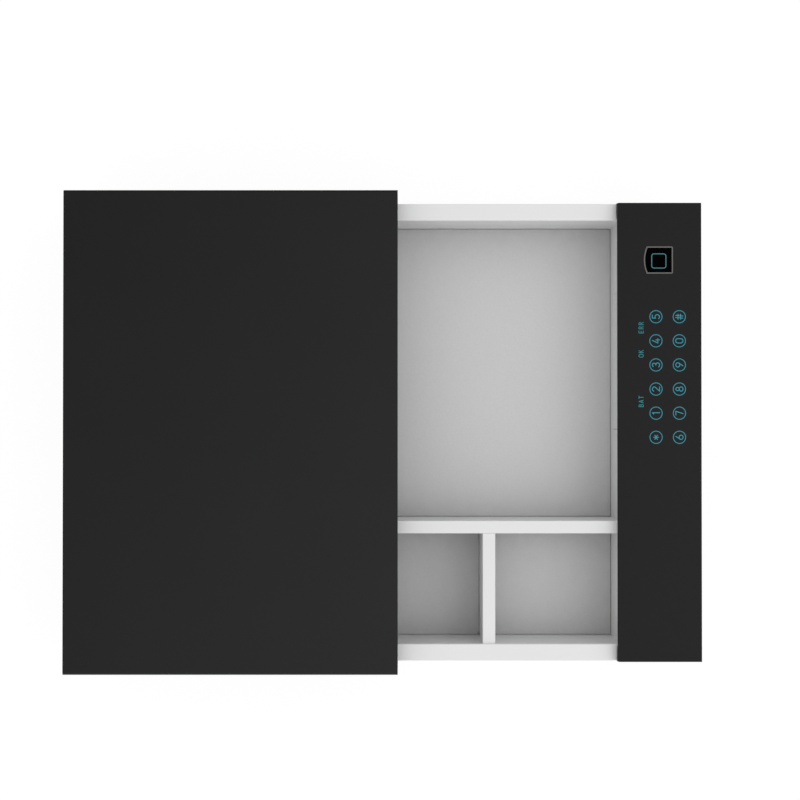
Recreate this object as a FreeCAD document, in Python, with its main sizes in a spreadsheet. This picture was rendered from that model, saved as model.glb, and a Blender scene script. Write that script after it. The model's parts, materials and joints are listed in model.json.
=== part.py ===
import FreeCAD, Part
import os
import re
import Sketcher

# A motorised drawer safe, drawn with its drawer fully open. Lengths are in millimetres.
# +X is to the right, the front faces -Y and +Z is up. The origin is the middle of the housing's underside.

doc = FreeCAD.newDocument("DrawerSafe")
sizes = doc.addObject("Spreadsheet::Sheet", "Sizes")
places = doc.addObject("Spreadsheet::Sheet", "Places")
cell_of = {}
nodes = {}


def bound(formula):
    """Returns a formula with its sizes and places written as references to their cells."""
    return re.sub(r"[a-z]\w+", lambda word: cell_of.get(word.group(), word.group()), formula)


def place(alias, formula):
    """Writes one derived place or length into the sheet of places."""
    row = len([cell for cell in cell_of.values() if cell.startswith("Places.")]) + 1
    places.set("B%d" % row, "=" + bound(formula).replace("Places.", ""))
    places.setAlias("B%d" % row, alias)
    cell_of[alias] = "Places." + alias


# The driving dimensions: lengths in millimetres, counts, and the pressure angle in degrees
SIZES = {
    # Housing
    "housing_width": 400,  # outside width of the housing
    "housing_depth": 276,  # depth of the housing without the head
    "housing_height": 130,  # outside height of the housing
    "cover_wall": 2.5,  # sheet of the wrapped cover
    "bend_radius": 2,  # outside radius of the cover's bends
    "rear_flange": 14,  # width of the cover's rear flange
    "flange_wall": 2,  # sheet of the rear flange
    "base_wall": 3,  # sheet of the base plate
    "base_lip": 12,  # height of the base plate's side lips
    "rear_wall": 2.5,  # sheet of the rear panel
    "mouth_wall": 2.5,  # sheet of the frame around the mouth
    "mouth_lip": 8,  # depth of the mouth frame's return lips
    "mouth_gap": 1,  # gap around the head in the mouth
    # Anchor holes
    "anchor_radius": 5.5,  # radius of the anchor holes
    "base_anchor_wide": 300,  # spacing of the base anchor holes across the width
    "base_anchor_deep": 180,  # spacing of the base anchor holes along the depth
    "rear_anchor_wide": 240,  # spacing of the rear anchor holes
    "rear_anchor_height": 65,  # height of the rear anchor holes
    # Head and drawer outline
    "side_step": 9.65,  # how far the head stands inside the housing's side
    "top_step": 8,  # how far the head stands below the housing's top
    "bottom_step": 8,  # gap under the head
    "travel_short": 91,  # how much shorter than the housing's depth the drawer's stroke is
    "head_entry": 2.7,  # how far the closed head enters the mouth
    "head_depth": 69.7,  # depth of the head
    "head_wall": 2.5,  # sheet of the head
    "head_round": 0.8,  # edge radius of the head shell
    "panel_wall": 3,  # thickness of the control panel
    "panel_overhang": 2.8,  # overhang of the panel over the compartments
    "panel_corner": 1.3,  # radius of the panel's rear corners
    "panel_round": 0.5,  # radius of the panel's upper edges
    "panel_flange": 8,  # width of the flange that carries the panel
    "sheet_wall": 1.5,  # sheet of the drawer
    "rim_drop": 8,  # drop from the head's top to the rim
    "rim_width": 14,  # width of the drawer's rim
    "rim_lip": 8,  # height of the rim's outer lip
    "rim_round": 0.9,  # edge radius of the rim
    "under_room": 36.5,  # height of the space under the compartment floor
    "tray_rear_gap": 25.1,  # gap between the closed drawer and the rear panel
    "tray_clear": 10,  # gap between the drawer's bottom and the base plate
    "floor_lip": 9,  # height of the compartment floor's bent lips
    "mat_wall": 1.5,  # thickness of the mats
    "mat_gap": 0.4,  # gap around a mat
    # Dividers
    "divider_wide": 10.6,  # thickness of a divider
    "divider_drop": 2,  # how far the dividers stand below the rim
    "small_width": 91.7,  # width of the small compartments
    "small_length": 103.7,  # length of the front small compartment
    "divider_round": 0.7,  # edge radius of a divider
    # Ball slides
    "slide_room": 12.75,  # width of a slide between drawer and bracket
    "slide_drop": 26.5,  # distance of the slides' middle below the rim's lips
    "slide_tall": 35,  # height of the outer slide
    "slide_lip": 9.5,  # depth of the outer slide's flanges
    "slide_wall": 1.2,  # sheet of the slides
    "slide_setback": 4,  # how far the outer slide starts behind the front
    "outer_rear_gap": 23.5,  # gap between the outer slide and the rear panel
    "inner_setback": 5,  # how far the inner slide starts behind the drawer's front
    "inner_reach": 10.15,  # depth of the inner slide's flanges
    "lip_gap": 0.6,  # gap between the cage and the outer slide's lips
    "ball_radius": 2.25,  # radius of the balls
    "ball_gap": 0.15,  # gap between a ball and its raceway
    "ball_count": 8,  # balls in a row
    "ball_pitch": 7,  # spacing of the balls
    "ball_offset": 5.5,  # distance of the balls from the outer slide's back
    "ball_hole_gap": 0.1,  # gap around a ball in its cage
    "cage_wall": 0.8,  # sheet of the cage's ball rows
    "cage_back": 0.6,  # sheet of the cage's back
    "cage_gap": 0.3,  # gap behind the cage
    "cage_reach": 6.4,  # depth of the cage's ball rows
    "cage_end": 3,  # cage left beyond the last ball
    "bracket_wall": 1.5,  # sheet of the slide brackets
    "bracket_tall": 40,  # height of the slide brackets
    # Screws
    "screw_radius": 2,  # radius of the large screws' shanks
    "screw_head": 4,  # radius of the large screws' heads
    "screw_tail": 3,  # how far a panel screw stands out behind its flange
    "screw_sink": 2,  # height of a countersunk head
    "slide_screw_radius": 1.5,  # radius of the slide screws' shanks
    "slide_screw_head": 3,  # radius of the slide screws' heads
    "slide_screw_rise": 1,  # height of the slide screws' heads
    "outer_screw_inset": 14,  # distance of an outer slide's last screw from its end
    "outer_screw_span": 75,  # distance of an outer slide's first screw from its rear end
    "inner_screw_inset": 30,  # distance of an inner slide's screws from its ends
    "screw_gap": 0.05,  # gap around a shank in its hole
    "socket_radius": 1.2,  # corner radius of a screw's hexagon socket
    "screw_blind": 1.2,  # how far the slide screws enter the drawer's wall
    # Drive
    "rack_module": 1,  # module of the drive rack and pinion
    "rack_body": 4.25,  # height of the drive rack under its teeth
    "rack_lead": 4,  # rack teeth beyond the pinion at each end of its stroke
    "pressure": 20,  # pressure angle of the gear teeth, in degrees
    "pinion_teeth": 36,  # teeth of the drive pinion
    "pinion_place": 64,  # distance of the pinion from the middle plane
    "pinion_wide": 8,  # width of the pinion and rack
    "pinion_rear_gap": 4.5,  # gap between the pinion and the drawer's rear wall
    "motor_gap": 4,  # gap between the pinion and its motor
    "bracket_foot_gap": 0.2,  # gap between the drive motor and its bracket's foot
    "motor_foot": 12,  # length of the motor bracket's foot
    "bracket_rise": 3,  # how far the motor bracket rises above the motor
    "shaft_tail": 2,  # how far the drive shaft stands out of the pinion
    "backlash": 0.2,  # play between meshing teeth
    "tooth_depth": 1.25,  # a tooth's depth below its pitch line, in modules
    "tooth_sink": 0.15,  # how far a tooth's root reaches into its bar or gear, in modules
    "tooth_flare": 0.25,  # how much wider a gear tooth is at its root on each side, in modules
    "drive_shaft_radius": 3,  # radius of the drive shaft
    "running_gap": 0.05,  # radial clearance of shafts and plungers
    "pinion_slot_gap": 2,  # gap around the pinion in the drawer's bottom
    "motor_radius": 11.5,  # radius of the gearmotors
    "gearbox_length": 18,  # length of a gearbox
    "motor_length": 38,  # length of a motor can
    "motor_step": 0.8,  # how much slimmer the motor can is than its gearbox
    "boss_radius": 4,  # radius of the boss on a motor's back
    "boss_length": 2,  # height of the boss on a motor's back
    "shaft_entry": 8,  # depth of a shaft in its gearbox
    # Lock
    "lock_setback": 26.6,  # distance of the lock from the drawer's front wall
    "lock_rise": 17.5,  # height of the lock's axis above the drawer's bottom
    "gear_module": 0.8,  # module of the bolt gear and bars
    "gear_teeth": 20,  # teeth of the bolt gear
    "bar_wide": 6,  # width of the bolt bars and the bolt gear
    "bar_tall": 4.5,  # height of a bolt bar behind its teeth
    "bar_lead": 3,  # teeth of a bolt bar beyond the gear at each end of its stroke
    "bolt_throw": 12.5,  # stroke of the lock bolts
    "bolt_radius": 6,  # radius of the lock bolts
    "bolt_length": 35.3,  # length of a lock bolt in front of its bar
    "bolt_sunk": 0.5,  # how far a drawn bolt stays inside the drawer's wall
    "bolt_chamfer": 1,  # chamfer of a bolt's tip
    "spigot_radius": 2,  # radius of the spigot that joins a bolt to its bar
    "tab_wide": 6,  # width of a bar's end tab
    "tab_margin": 2,  # how far a tab reaches past its bolt
    "bar_margin": 2,  # bar left beyond its teeth
    "seat_gap": 0.01,  # gap around a spigot or a keyed shaft in its seat
    "hole_gap": 0.3,  # gap around a part that passes through a sheet
    "guide_radius": 10,  # radius of a bolt guide
    "guide_length": 12,  # length of a bolt guide
    "case_wide": 52,  # width of the lock case
    "case_wall": 2,  # sheet of the lock case
    "case_gap": 0.3,  # gap beside the bars in the lock case
    "case_top_gap": 1,  # gap between the lock case and the compartment floor
    "post_radius": 1.5,  # radius of the lock case's posts
    "post_place": 22,  # distance of the posts from the lock's axis
    "post_gap": 0.1,  # gap between a bar and its posts
    "hub_radius": 5,  # radius of the bolt gear's hub
    "lock_shaft_radius": 3,  # radius of the lock shaft
    "strike_gap": 4.15,  # gap between the drawer and a strike
    "strike_wall": 3,  # sheet of a strike
    "strike_long": 26,  # length of a strike
    "strike_margin": 7,  # strike left above its bolt hole
    "strike_foot": 20,  # length of a strike's foot
    "strike_hole_gap": 0.75,  # gap around a bolt in its strike
    # Service opening and key lock
    "service_wide": 60,  # width of the service opening
    "service_tall": 26,  # height of the service opening
    "service_shift": 16,  # how far the service opening's middle stands right of the lock's axis
    "service_lift": 1,  # how far the service opening's middle stands above the lock's axis
    "cover_gap": 0.3,  # gap around a lift-off cover
    "recess_deep": 12,  # depth of the service recess
    "recess_wall": 1.5,  # wall of the service recess
    "notch_radius": 8,  # radius of a cover's thumbnail notch
    "notch_deep": 0.8,  # depth of a cover's thumbnail notch
    "clip_wide": 8,  # width of a cover's clip
    "clip_wall": 1.2,  # thickness of a cover's clip
    "clip_long": 3,  # length of a cover's clip
    "keylock_radius": 8,  # radius of the key lock's barrel
    "keylock_length": 20,  # length of the key lock's barrel
    "keylock_flange": 10.5,  # radius of the key lock's flange
    "keylock_flange_wall": 2.5,  # thickness of the key lock's flange
    "plug_radius": 5.5,  # radius of the key plug
    "plug_tail": 2,  # how far the key plug stands out behind its barrel
    "plug_proud": 0.5,  # how far the key plug stands out of its flange
    "keyway_wide": 1.4,  # width of the keyway
    "keyway_tall": 7,  # height of the keyway
    "keyway_deep": 14,  # depth of the keyway
    "nut_radius": 12,  # corner radius of the key lock's nut
    "nut_wall": 4,  # thickness of the key lock's nut
    "usb_place": 30,  # distance of the power socket right of the lock's axis
    "usb_wide": 8.9,  # width of the power socket
    "usb_tall": 3.4,  # height of the power socket
    "usb_long": 10,  # length of the power socket
    "usb_wall": 0.4,  # wall of the power socket
    "usb_proud": 0.5,  # how far the power socket stands out of the recess's back
    "usb_back": 2,  # thickness of the power socket's back
    # Batteries
    "battery_shift": 60,  # distance of the battery box right of the middle plane
    "battery_wide": 116,  # width of the battery opening
    "battery_tall": 41,  # height of the battery opening
    "holder_deep": 22,  # depth of the battery box
    "holder_wall": 1.5,  # wall of the battery box
    "holder_gap": 0.3,  # gap around the battery box
    "cell_radius": 7.1,  # radius of a battery
    "cell_length": 49.5,  # length of a battery
    "cell_row": 19,  # spacing of the battery rows
    "cell_column": 56,  # spacing of the battery columns
    "cell_tip_radius": 2.7,  # radius of a battery's tip
    "cell_tip": 1,  # height of a battery's tip
    "cell_gap": 0.5,  # gap behind the batteries
    "contact_inset": 1,  # how far a contact is smaller than its battery
    "contact_wall": 0.5,  # thickness of a battery contact
    # Electronics
    "board_wall": 1.6,  # thickness of the circuit boards
    "board_wide": 90,  # width of the main board
    "board_tall": 60,  # height of the main board
    "board_side_gap": 37.85,  # gap between the main board and the head's left side
    "standoff_length": 16,  # length of the board's standoffs
    "standoff_radius": 3,  # radius of the board's standoffs
    "standoff_inset": 6,  # distance of the standoffs from the board's edges
    "buzzer_radius": 6,  # radius of the buzzer
    "buzzer_tall": 6,  # height of the buzzer
    "key_pitch": 20,  # spacing of the touch keys along a row
    "key_row_gap": 19.4,  # spacing of the two key rows
    "key_columns": 6,  # keys in a row
    "key_radius": 5.7,  # radius of a touch key
    "key_side": 144.35,  # distance of the keys' middle from the head's right side
    "key_front": 27.8,  # distance of the keys' middle behind the head's front
    "pad_wall": 0.3,  # thickness of a touch pad
    "board_margin": 1.5,  # board left around the touch pads
    "chip_tall": 1.4,  # height of a chip
    "keypad_chip": 10,  # width of the keypad's chip
    "controller_chip": 14,  # width of the controller chip
    "plug_count": 3,  # cable sockets on the main board
    "plug_pitch": 18,  # spacing of the cable sockets
    "plug_wide": 12,  # width of a cable socket
    "plug_tall": 6,  # height and depth of a cable socket
    "plug_inset": 2,  # distance of the cable sockets from the board's edge
    "relay_wide": 14,  # width of the relay
    "relay_deep": 9,  # depth of the relay
    "relay_inset": 12,  # distance of the relay from the board's edges
    "stud_length": 1.5,  # how far a standoff's stud passes through the board
    "buzzer_inset": 21,  # distance of the buzzer from the board's edges
    # Cutting tools
    "past": 1,  # how far a cutting tool reaches past a face
    # Fingerprint reader
    "finger_wide": 22.6,  # width of the fingerprint reader
    "finger_deep": 24.15,  # depth of the fingerprint reader
    "finger_side": 47.65,  # distance of the reader's middle from the head's right side
    "finger_front": 35.7,  # distance of the reader's middle behind the head's front
    "finger_bulge": 2.4,  # bulge of the reader's rear side
    "finger_round": 1.3,  # radius of the reader's front corners
    "bezel_wide": 1,  # width of the reader's bezel
    "bezel_rise": 0.3,  # how far the bezel stands proud of the panel
    "bezel_gap": 0.05,  # gap around the bezel and the sensor
    "sensor_sunk": 0.3,  # how far the sensor lies below the panel's top
    "sensor_tall": 5,  # height of the sensor's block under the panel
}

for number, (alias, value) in enumerate(SIZES.items(), 1):
    sizes.set("A%d" % number, alias)
    sizes.set("B%d" % number, str(value))
    sizes.setAlias("B%d" % number, alias)
    cell_of[alias] = "Sizes." + alias
doc.recompute()

# Places of the housing
place("half_width", "housing_width / 2")
place("inner_half", "half_width - cover_wall")
place("inner_top", "housing_height - cover_wall")
place("front_face", "-housing_depth / 2")
place("back_face", "housing_depth / 2")
place("inner_front", "front_face + mouth_wall")
place("inner_back", "back_face - rear_wall")
place("base_lip_top", "base_wall + base_lip")

# Places of the head and the drawer
place("head_half", "half_width - side_step")
place("head_inner", "head_half - head_wall")
place("head_top", "housing_height - top_step")
place("head_low", "bottom_step")
place("head_floor", "head_low + head_wall")
place("panel_low", "head_top - panel_wall")
place("flange_low", "panel_low - sheet_wall")
place("mouth_half", "head_half + mouth_gap")
place("mouth_top", "head_top + mouth_gap")
place("mouth_low", "head_low - mouth_gap")
place("travel", "housing_depth - travel_short")
place("panel_rear", "front_face + head_entry - travel")
place("head_front", "panel_rear - head_depth")
place("head_inside", "head_front + head_wall")
place("wall_face", "panel_rear - panel_overhang")
place("wall_back", "wall_face - sheet_wall")
place("plate_front", "wall_back - head_wall")
place("tray_inner", "head_half - rim_width")
place("tray_half", "tray_inner + sheet_wall")
place("lip_inner", "head_half - sheet_wall")
place("rim_top", "head_top - rim_drop")
place("rim_under", "rim_top - sheet_wall")
place("lip_low", "rim_top - rim_lip")
place("tray_low", "base_wall + tray_clear")
place("tray_floor", "tray_low + sheet_wall")
place("tray_rear", "inner_back - tray_rear_gap - travel")
place("rear_face", "tray_rear - rim_width")
place("floor_low", "tray_floor + under_room")
place("floor_top", "floor_low + sheet_wall")
place("mat_top", "floor_top + mat_wall")

# Places of the dividers
place("divider_top", "rim_top - divider_drop")
place("long_left", "-tray_inner + small_width")
place("long_right", "long_left + divider_wide")
place("cross_front", "wall_face + small_length")
place("cross_rear", "cross_front + divider_wide")

# Places of the slides
place("slide_x", "tray_half + slide_room")
place("slide_height", "lip_low - slide_drop")
place("slide_half", "slide_tall / 2")
place("slide_inside", "slide_half - slide_wall")
place("outer_front", "front_face + slide_setback")
place("outer_back", "inner_back - outer_rear_gap")
place("inner_front_end", "wall_back + inner_setback")
place("ball_rise", "slide_inside - ball_gap - ball_radius")
place("inner_rise", "ball_rise - ball_radius - ball_gap")
place("cage_rise", "ball_rise + cage_wall / 2")
place("cage_under", "ball_rise - cage_wall / 2")
place("cage_start", "slide_wall + cage_gap")
place("cage_end_reach", "cage_start + cage_reach")
place("lip_edge", "cage_rise + lip_gap")
place("cage_middle", "(outer_front + tray_rear) / 2")
place("cage_half", "(ball_count - 1) * ball_pitch / 2 + ball_radius + cage_end")
place("first_ball", "cage_middle - (ball_count - 1) * ball_pitch / 2")

# Places of the drive
place("pinion_radius", "rack_module * pinion_teeth / 2")
place("pinion_tip", "pinion_radius + rack_module")
place("pinion_y", "rear_face - pinion_rear_gap - pinion_tip")
place("rack_root", "base_wall + rack_body")
place("rack_pitch_line", "rack_root + tooth_depth * rack_module")
place("pinion_z", "rack_pitch_line + pinion_radius")
place("rack_tooth", "rack_module * pi")
place("rack_teeth", "ceil(travel / rack_tooth) + 2 * rack_lead")
place("rack_long", "rack_teeth * rack_tooth")
place("rack_front", "pinion_y - rack_lead * rack_tooth")
place("pinion_left", "pinion_place - pinion_wide / 2")
place("pinion_right", "pinion_place + pinion_wide / 2")
place("drive_bracket_right", "pinion_right + motor_gap")

# Places of the lock
place("lock_y", "wall_back + lock_setback")
place("lock_height", "tray_floor + lock_rise")
place("gear_radius", "gear_module * gear_teeth / 2")
place("bar_front", "lock_y - bar_wide / 2")
place("bar_back", "lock_y + bar_wide / 2")
place("bar_tooth", "gear_module * pi")
place("upper_root", "lock_height + gear_radius + tooth_depth * gear_module")
place("upper_back", "upper_root + bar_tall")
place("tab_low", "lock_height - bolt_radius - tab_margin")
place("bolt_tip", "tray_half - bolt_sunk")
place("bolt_heel", "bolt_tip - bolt_length")
place("tab_inner", "bolt_heel - tab_wide")
place("bar_teeth", "ceil(bolt_throw / bar_tooth) + 2 * bar_lead")
place("bar_first", "(bar_lead - bar_teeth) * bar_tooth")
place("bar_start", "bar_first - bar_margin")
place("case_front_back", "bar_front - case_gap")
place("case_rear_front", "bar_back + case_gap")
place("case_front_front", "case_front_back - case_wall")
place("case_rear_back", "case_rear_front + case_wall")
place("post_rise", "upper_back - lock_height + post_gap + post_radius")
place("strike_x", "tray_half + strike_gap")
place("strike_y", "lock_y + travel")
place("strike_top", "lock_height + bolt_radius + strike_hole_gap + strike_margin")

# Places of the service recess and the key lock
place("service_left", "service_shift - service_wide / 2")
place("service_right", "service_shift + service_wide / 2")
place("service_low", "lock_height + service_lift - service_tall / 2")
place("service_high", "lock_height + service_lift + service_tall / 2")
place("recess_back", "head_inside + recess_deep")
place("recess_face", "recess_back - recess_wall")
place("flange_front", "recess_face - keylock_flange_wall")
place("plug_front", "flange_front - plug_proud")
place("barrel_back", "flange_front + keylock_flange_wall + keylock_length")
place("plug_back", "barrel_back + plug_tail")

# Places of the batteries
place("battery_left", "battery_shift - battery_wide / 2")
place("battery_right", "battery_shift + battery_wide / 2")
place("battery_lift", "(mat_top + rim_top) / 2")
place("battery_low", "battery_lift - battery_tall / 2")
place("battery_high", "battery_lift + battery_tall / 2")
place("holder_front", "wall_back - holder_deep")
place("cell_y", "holder_front + holder_wall + cell_radius + cell_gap")

# Places of the electronics and the fingerprint reader
place("board_back", "plate_front - standoff_length")
place("board_front", "board_back - board_wall")
place("board_left", "board_side_gap - head_inner")
place("board_right", "board_left + board_wide")
place("board_middle", "board_left + board_wide / 2")
place("board_lift", "(head_floor + flange_low) / 2")
place("board_low", "board_lift - board_tall / 2")
place("board_high", "board_lift + board_tall / 2")
place("key_y", "head_front + key_front")
place("key_shift", "head_half - key_side")
place("finger_shift", "head_half - finger_side")
place("finger_left", "finger_shift - finger_wide / 2")
place("finger_right", "finger_shift + finger_wide / 2")
place("finger_middle", "head_front + finger_front")
place("finger_low", "finger_middle - finger_deep / 2")
place("finger_high", "finger_middle + finger_deep / 2")
place("hole_corner", "finger_round + bezel_gap")
place("ring_corner", "finger_round - bezel_wide")
place("window_corner", "ring_corner - bezel_gap")
place("carrier_corner", "finger_round + bezel_wide")
place("finger_radius", "finger_wide * finger_wide / 8 / finger_bulge + finger_bulge / 2")
doc.recompute()

# Making shapes
# The radius of the circle on which an outline's corners start
START_RADIUS = 10
TURN_TO = {
    "x": FreeCAD.Rotation(FreeCAD.Vector(0, 1, 0), 90),
    "y": FreeCAD.Rotation(FreeCAD.Vector(1, 0, 0), -90),
    "z": FreeCAD.Rotation(),
}
OTHERS = {"x": "yz", "y": "xz", "z": "xy"}
# Each drawing plane, with the sense of its normal along the third axis
PLANES = {"XY": ("XY_Plane", 1), "XZ": ("XZ_Plane", -1), "YZ": ("YZ_Plane", 1)}


def block(across, along, up):
    """Makes a box from a (low, high) pair of formulas on each axis."""
    box = doc.addObject("Part::Box", "block")
    spans = (("Length", "x", across), ("Width", "y", along), ("Height", "z", up))
    for name, axis, (low, high) in spans:
        box.setExpression(name, bound("(%s) - (%s)" % (high, low)))
        box.setExpression("Placement.Base." + axis, bound(low))
    return box


def lay_along(shape, axis, centre, low):
    """Turns a primitive's height along an axis and binds its place to formulas."""
    shape.Placement = FreeCAD.Placement(FreeCAD.Vector(), TURN_TO[axis])
    shape.setExpression("Placement.Base." + axis, bound(low))
    for other, formula in zip(OTHERS[axis], centre):
        shape.setExpression("Placement.Base." + other, bound(formula))


def rod(axis, centre, radius, low, high):
    """Makes a cylinder along an axis; the centre is in the other two axes, in their order."""
    cylinder = doc.addObject("Part::Cylinder", "rod")
    cylinder.setExpression("Radius", bound(radius))
    cylinder.setExpression("Height", bound("(%s) - (%s)" % (high, low)))
    lay_along(cylinder, axis, centre, low)
    return cylinder


def taper(axis, centre, low_radius, high_radius, low, high):
    """Makes a cone along an axis, from one radius to another."""
    cone = doc.addObject("Part::Cone", "taper")
    cone.setExpression("Radius1", bound(low_radius))
    cone.setExpression("Radius2", bound(high_radius))
    cone.setExpression("Height", bound("(%s) - (%s)" % (high, low)))
    lay_along(cone, axis, centre, low)
    return cone


def hexagon(axis, centre, radius, low, high):
    """Makes a six-sided prism along an axis."""
    prism = doc.addObject("Part::Prism", "hexagon")
    prism.Polygon = 6
    prism.setExpression("Circumradius", bound(radius))
    prism.setExpression("Height", bound("(%s) - (%s)" % (high, low)))
    lay_along(prism, axis, centre, low)
    return prism


def fuse(*shapes):
    """Joins shapes into one."""
    if len(shapes) == 1:
        return shapes[0]
    joined = doc.addObject("Part::MultiFuse", "fuse")
    joined.Shapes = list(shapes)
    joined.Refine = True
    return joined


def cut(base, *tools):
    """Takes tools away from a base."""
    result = doc.addObject("Part::Cut", "cut")
    result.Base = base
    result.Tool = fuse(*tools)
    return result


def common(first, second):
    """Keeps what two shapes share."""
    result = doc.addObject("Part::Common", "common")
    result.Base = first
    result.Tool = second
    return result


def group(pieces):
    """Keeps equal pieces together as separate solids."""
    result = doc.addObject("Part::Compound", "group")
    result.Links = pieces
    return result


def rounded(shape, radius, picked):
    """Rounds the edges that a test picks."""
    doc.recompute()
    value = value_of(radius)
    result = doc.addObject("Part::Fillet", "rounded")
    result.Base = shape
    chosen = [number + 1 for number, edge in enumerate(shape.Shape.Edges) if picked(edge)]
    if not chosen:
        raise RuntimeError("no edge to round by " + radius)
    result.Edges = [(number, value, value) for number in chosen]
    return result


def node(label, thing):
    """Names a finished sub-part."""
    thing.Label = label
    nodes[label] = thing
    return thing


def new_body(label):
    """Starts a body built from drawings, as a named sub-part."""
    return node(label, doc.addObject("PartDesign::Body", label))


def drawing(body, plane, level, loops):
    """Draws closed outlines at a level of a plane: lists of points, or circles as (u, v, radius)."""
    role, sense = PLANES[plane]
    sketch = body.newObject("Sketcher::SketchObject", "outline")
    origin = [feature for feature in body.Origin.OriginFeatures if feature.Role == role][0]
    sketch.AttachmentSupport = [(origin, "")]
    sketch.MapMode = "FlatFace"
    sketch.setExpression("AttachmentOffset.Base.z", bound("%d * (%s)" % (sense, level)))
    for loop in loops:
        if isinstance(loop, tuple):
            draw_circle(sketch, loop)
        else:
            draw_polygon(sketch, loop)
    return sketch


def pin_down(sketch, curve, point, across, up):
    """Ties a point of a drawing to two formulas."""
    for kind, formula in (("DistanceX", across), ("DistanceY", up)):
        number = sketch.addConstraint(Sketcher.Constraint(kind, -1, 1, curve, point, 1.0))
        sketch.setExpression("Constraints[%d]" % number, bound(formula))


def draw_circle(sketch, circle):
    """Adds a circle to a drawing."""
    across, up, radius = circle
    curve = sketch.addGeometry(Part.Circle(FreeCAD.Vector(), FreeCAD.Vector(0, 0, 1), 1.0), False)
    pin_down(sketch, curve, 3, across, up)
    number = sketch.addConstraint(Sketcher.Constraint("Radius", curve, 1.0))
    sketch.setExpression("Constraints[%d]" % number, bound(radius))


def draw_polygon(sketch, points):
    """Adds a closed polygon to a drawing. It starts on a circle, and its formulas pull it into shape."""
    step = FreeCAD.Rotation(FreeCAD.Vector(0, 0, 1), 360.0 / len(points))
    corners = [FreeCAD.Vector(START_RADIUS, 0, 0)]
    for _ in points[1:]:
        corners.append(step.multVec(corners[-1]))
    first = len(sketch.Geometry)
    for start, end in zip(corners, corners[1:] + corners[:1]):
        sketch.addGeometry(Part.LineSegment(start, end), False)
    count = len(points)
    for number in range(count):
        following = first + (number + 1) % count
        sketch.addConstraint(Sketcher.Constraint("Coincident", first + number, 2, following, 1))
    for number, (across, up) in enumerate(points):
        pin_down(sketch, first + number, 1, across, up)


def pad(body, plane, loops, low, high):
    """Adds material to a body between two levels of a plane."""
    level = low if PLANES[plane][1] > 0 else high
    feature = body.newObject("PartDesign::Pad", "pad")
    feature.Profile = drawing(body, plane, level, loops)
    feature.setExpression("Length", bound("(%s) - (%s)" % (high, low)))
    doc.recompute()
    return feature


def pocket(body, plane, loops, low, high):
    """Cuts a body between two levels of a plane, and makes sure that it cuts."""
    before = body.Shape.Volume
    level = high if PLANES[plane][1] > 0 else low
    feature = body.newObject("PartDesign::Pocket", "pocket")
    feature.Profile = drawing(body, plane, level, loops)
    feature.setExpression("Length", bound("(%s) - (%s)" % (high, low)))
    doc.recompute()
    if not body.Shape.Volume < before:
        raise RuntimeError("a pocket cuts nothing in " + body.Label)
    return feature


def origin_axis(body, role):
    """Finds an axis of a body's own origin."""
    return [feature for feature in body.Origin.OriginFeatures if feature.Role == role][0]


def repeat_along(body, feature, role, length, count):
    """Repeats a feature in a row along an axis."""
    pattern = body.newObject("PartDesign::LinearPattern", "row")
    pattern.Originals = [feature]
    pattern.Direction = (origin_axis(body, role), [""])
    pattern.setExpression("Length", bound(length))
    pattern.setExpression("Occurrences", bound(count))
    body.Tip = pattern
    doc.recompute()


def round_edges(body, radius, picked):
    """Rounds the edges of a body that a test picks."""
    feature = body.Tip
    names = ["Edge%d" % (n + 1) for n, edge in enumerate(feature.Shape.Edges) if picked(edge)]
    if not names:
        raise RuntimeError("no edge to round in " + body.Label)
    fillet = body.newObject("PartDesign::Fillet", "fillet")
    fillet.Base = (feature, names)
    fillet.setExpression("Radius", bound(radius))
    doc.recompute()


def rectangle(left, right, low, high):
    """Lists the corners of a rectangle."""
    return [(left, low), (right, low), (right, high), (left, high)]


def flip(points):
    """Mirrors the points of an outline, and keeps its order."""
    return [("-(%s)" % across, up) for across, up in reversed(points)]


def sided(side, formula):
    """Gives a distance from the middle plane its sign for a side."""
    return formula if side == "right" else "-(%s)" % formula


def span(side, near, far):
    """Gives the low and high ends of a stretch on one side of the middle plane."""
    return (near, far) if side == "right" else ("-(%s)" % far, "-(%s)" % near)


def value_of(alias):
    """Reads a size or a place as a number, for picking edges."""
    sheet = sizes if cell_of[alias].startswith("Sizes.") else places
    return float(getattr(sheet, alias))


def near(first, second):
    """Says whether two lengths are the same."""
    return abs(first - second) < 1e-4


def runs(edge, axis):
    """Says whether an edge runs along one axis."""
    extent = {"x": edge.BoundBox.XLength, "y": edge.BoundBox.YLength, "z": edge.BoundBox.ZLength}
    along = extent.pop(axis)
    return along > 1e-3 and max(extent.values()) < 1e-4


# Housing
def build_housing_cover():
    """The wrapped cover: top and sides in one sheet, with a flange for the rear panel."""
    body = new_body("housing_cover")
    outline = [
        ("-half_width", "0"), ("-half_width", "housing_height"),
        ("half_width", "housing_height"), ("half_width", "0"),
        ("inner_half", "0"), ("inner_half", "inner_top"),
        ("-inner_half", "inner_top"), ("-inner_half", "0"),
    ]
    pad(body, "XZ", [outline], "front_face", "back_face")
    flange = [
        ("-inner_half", "base_lip_top"), ("-inner_half", "inner_top"),
        ("inner_half", "inner_top"), ("inner_half", "base_lip_top"),
        ("inner_half - rear_flange", "base_lip_top"),
        ("inner_half - rear_flange", "inner_top - rear_flange"),
        ("rear_flange - inner_half", "inner_top - rear_flange"),
        ("rear_flange - inner_half", "base_lip_top"),
    ]
    pad(body, "XZ", [flange], "inner_back - flange_wall", "inner_back")
    holes = [(across, up, "screw_radius + screw_gap") for across, up in REAR_SCREWS]
    pocket(body, "XZ", holes, "inner_back - flange_wall", "inner_back")
    top = value_of("housing_height")
    side = value_of("half_width")
    round_edges(body, "bend_radius", lambda edge: runs(edge, "y")
                and near(edge.CenterOfMass.z, top) and near(abs(edge.CenterOfMass.x), side))


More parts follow.
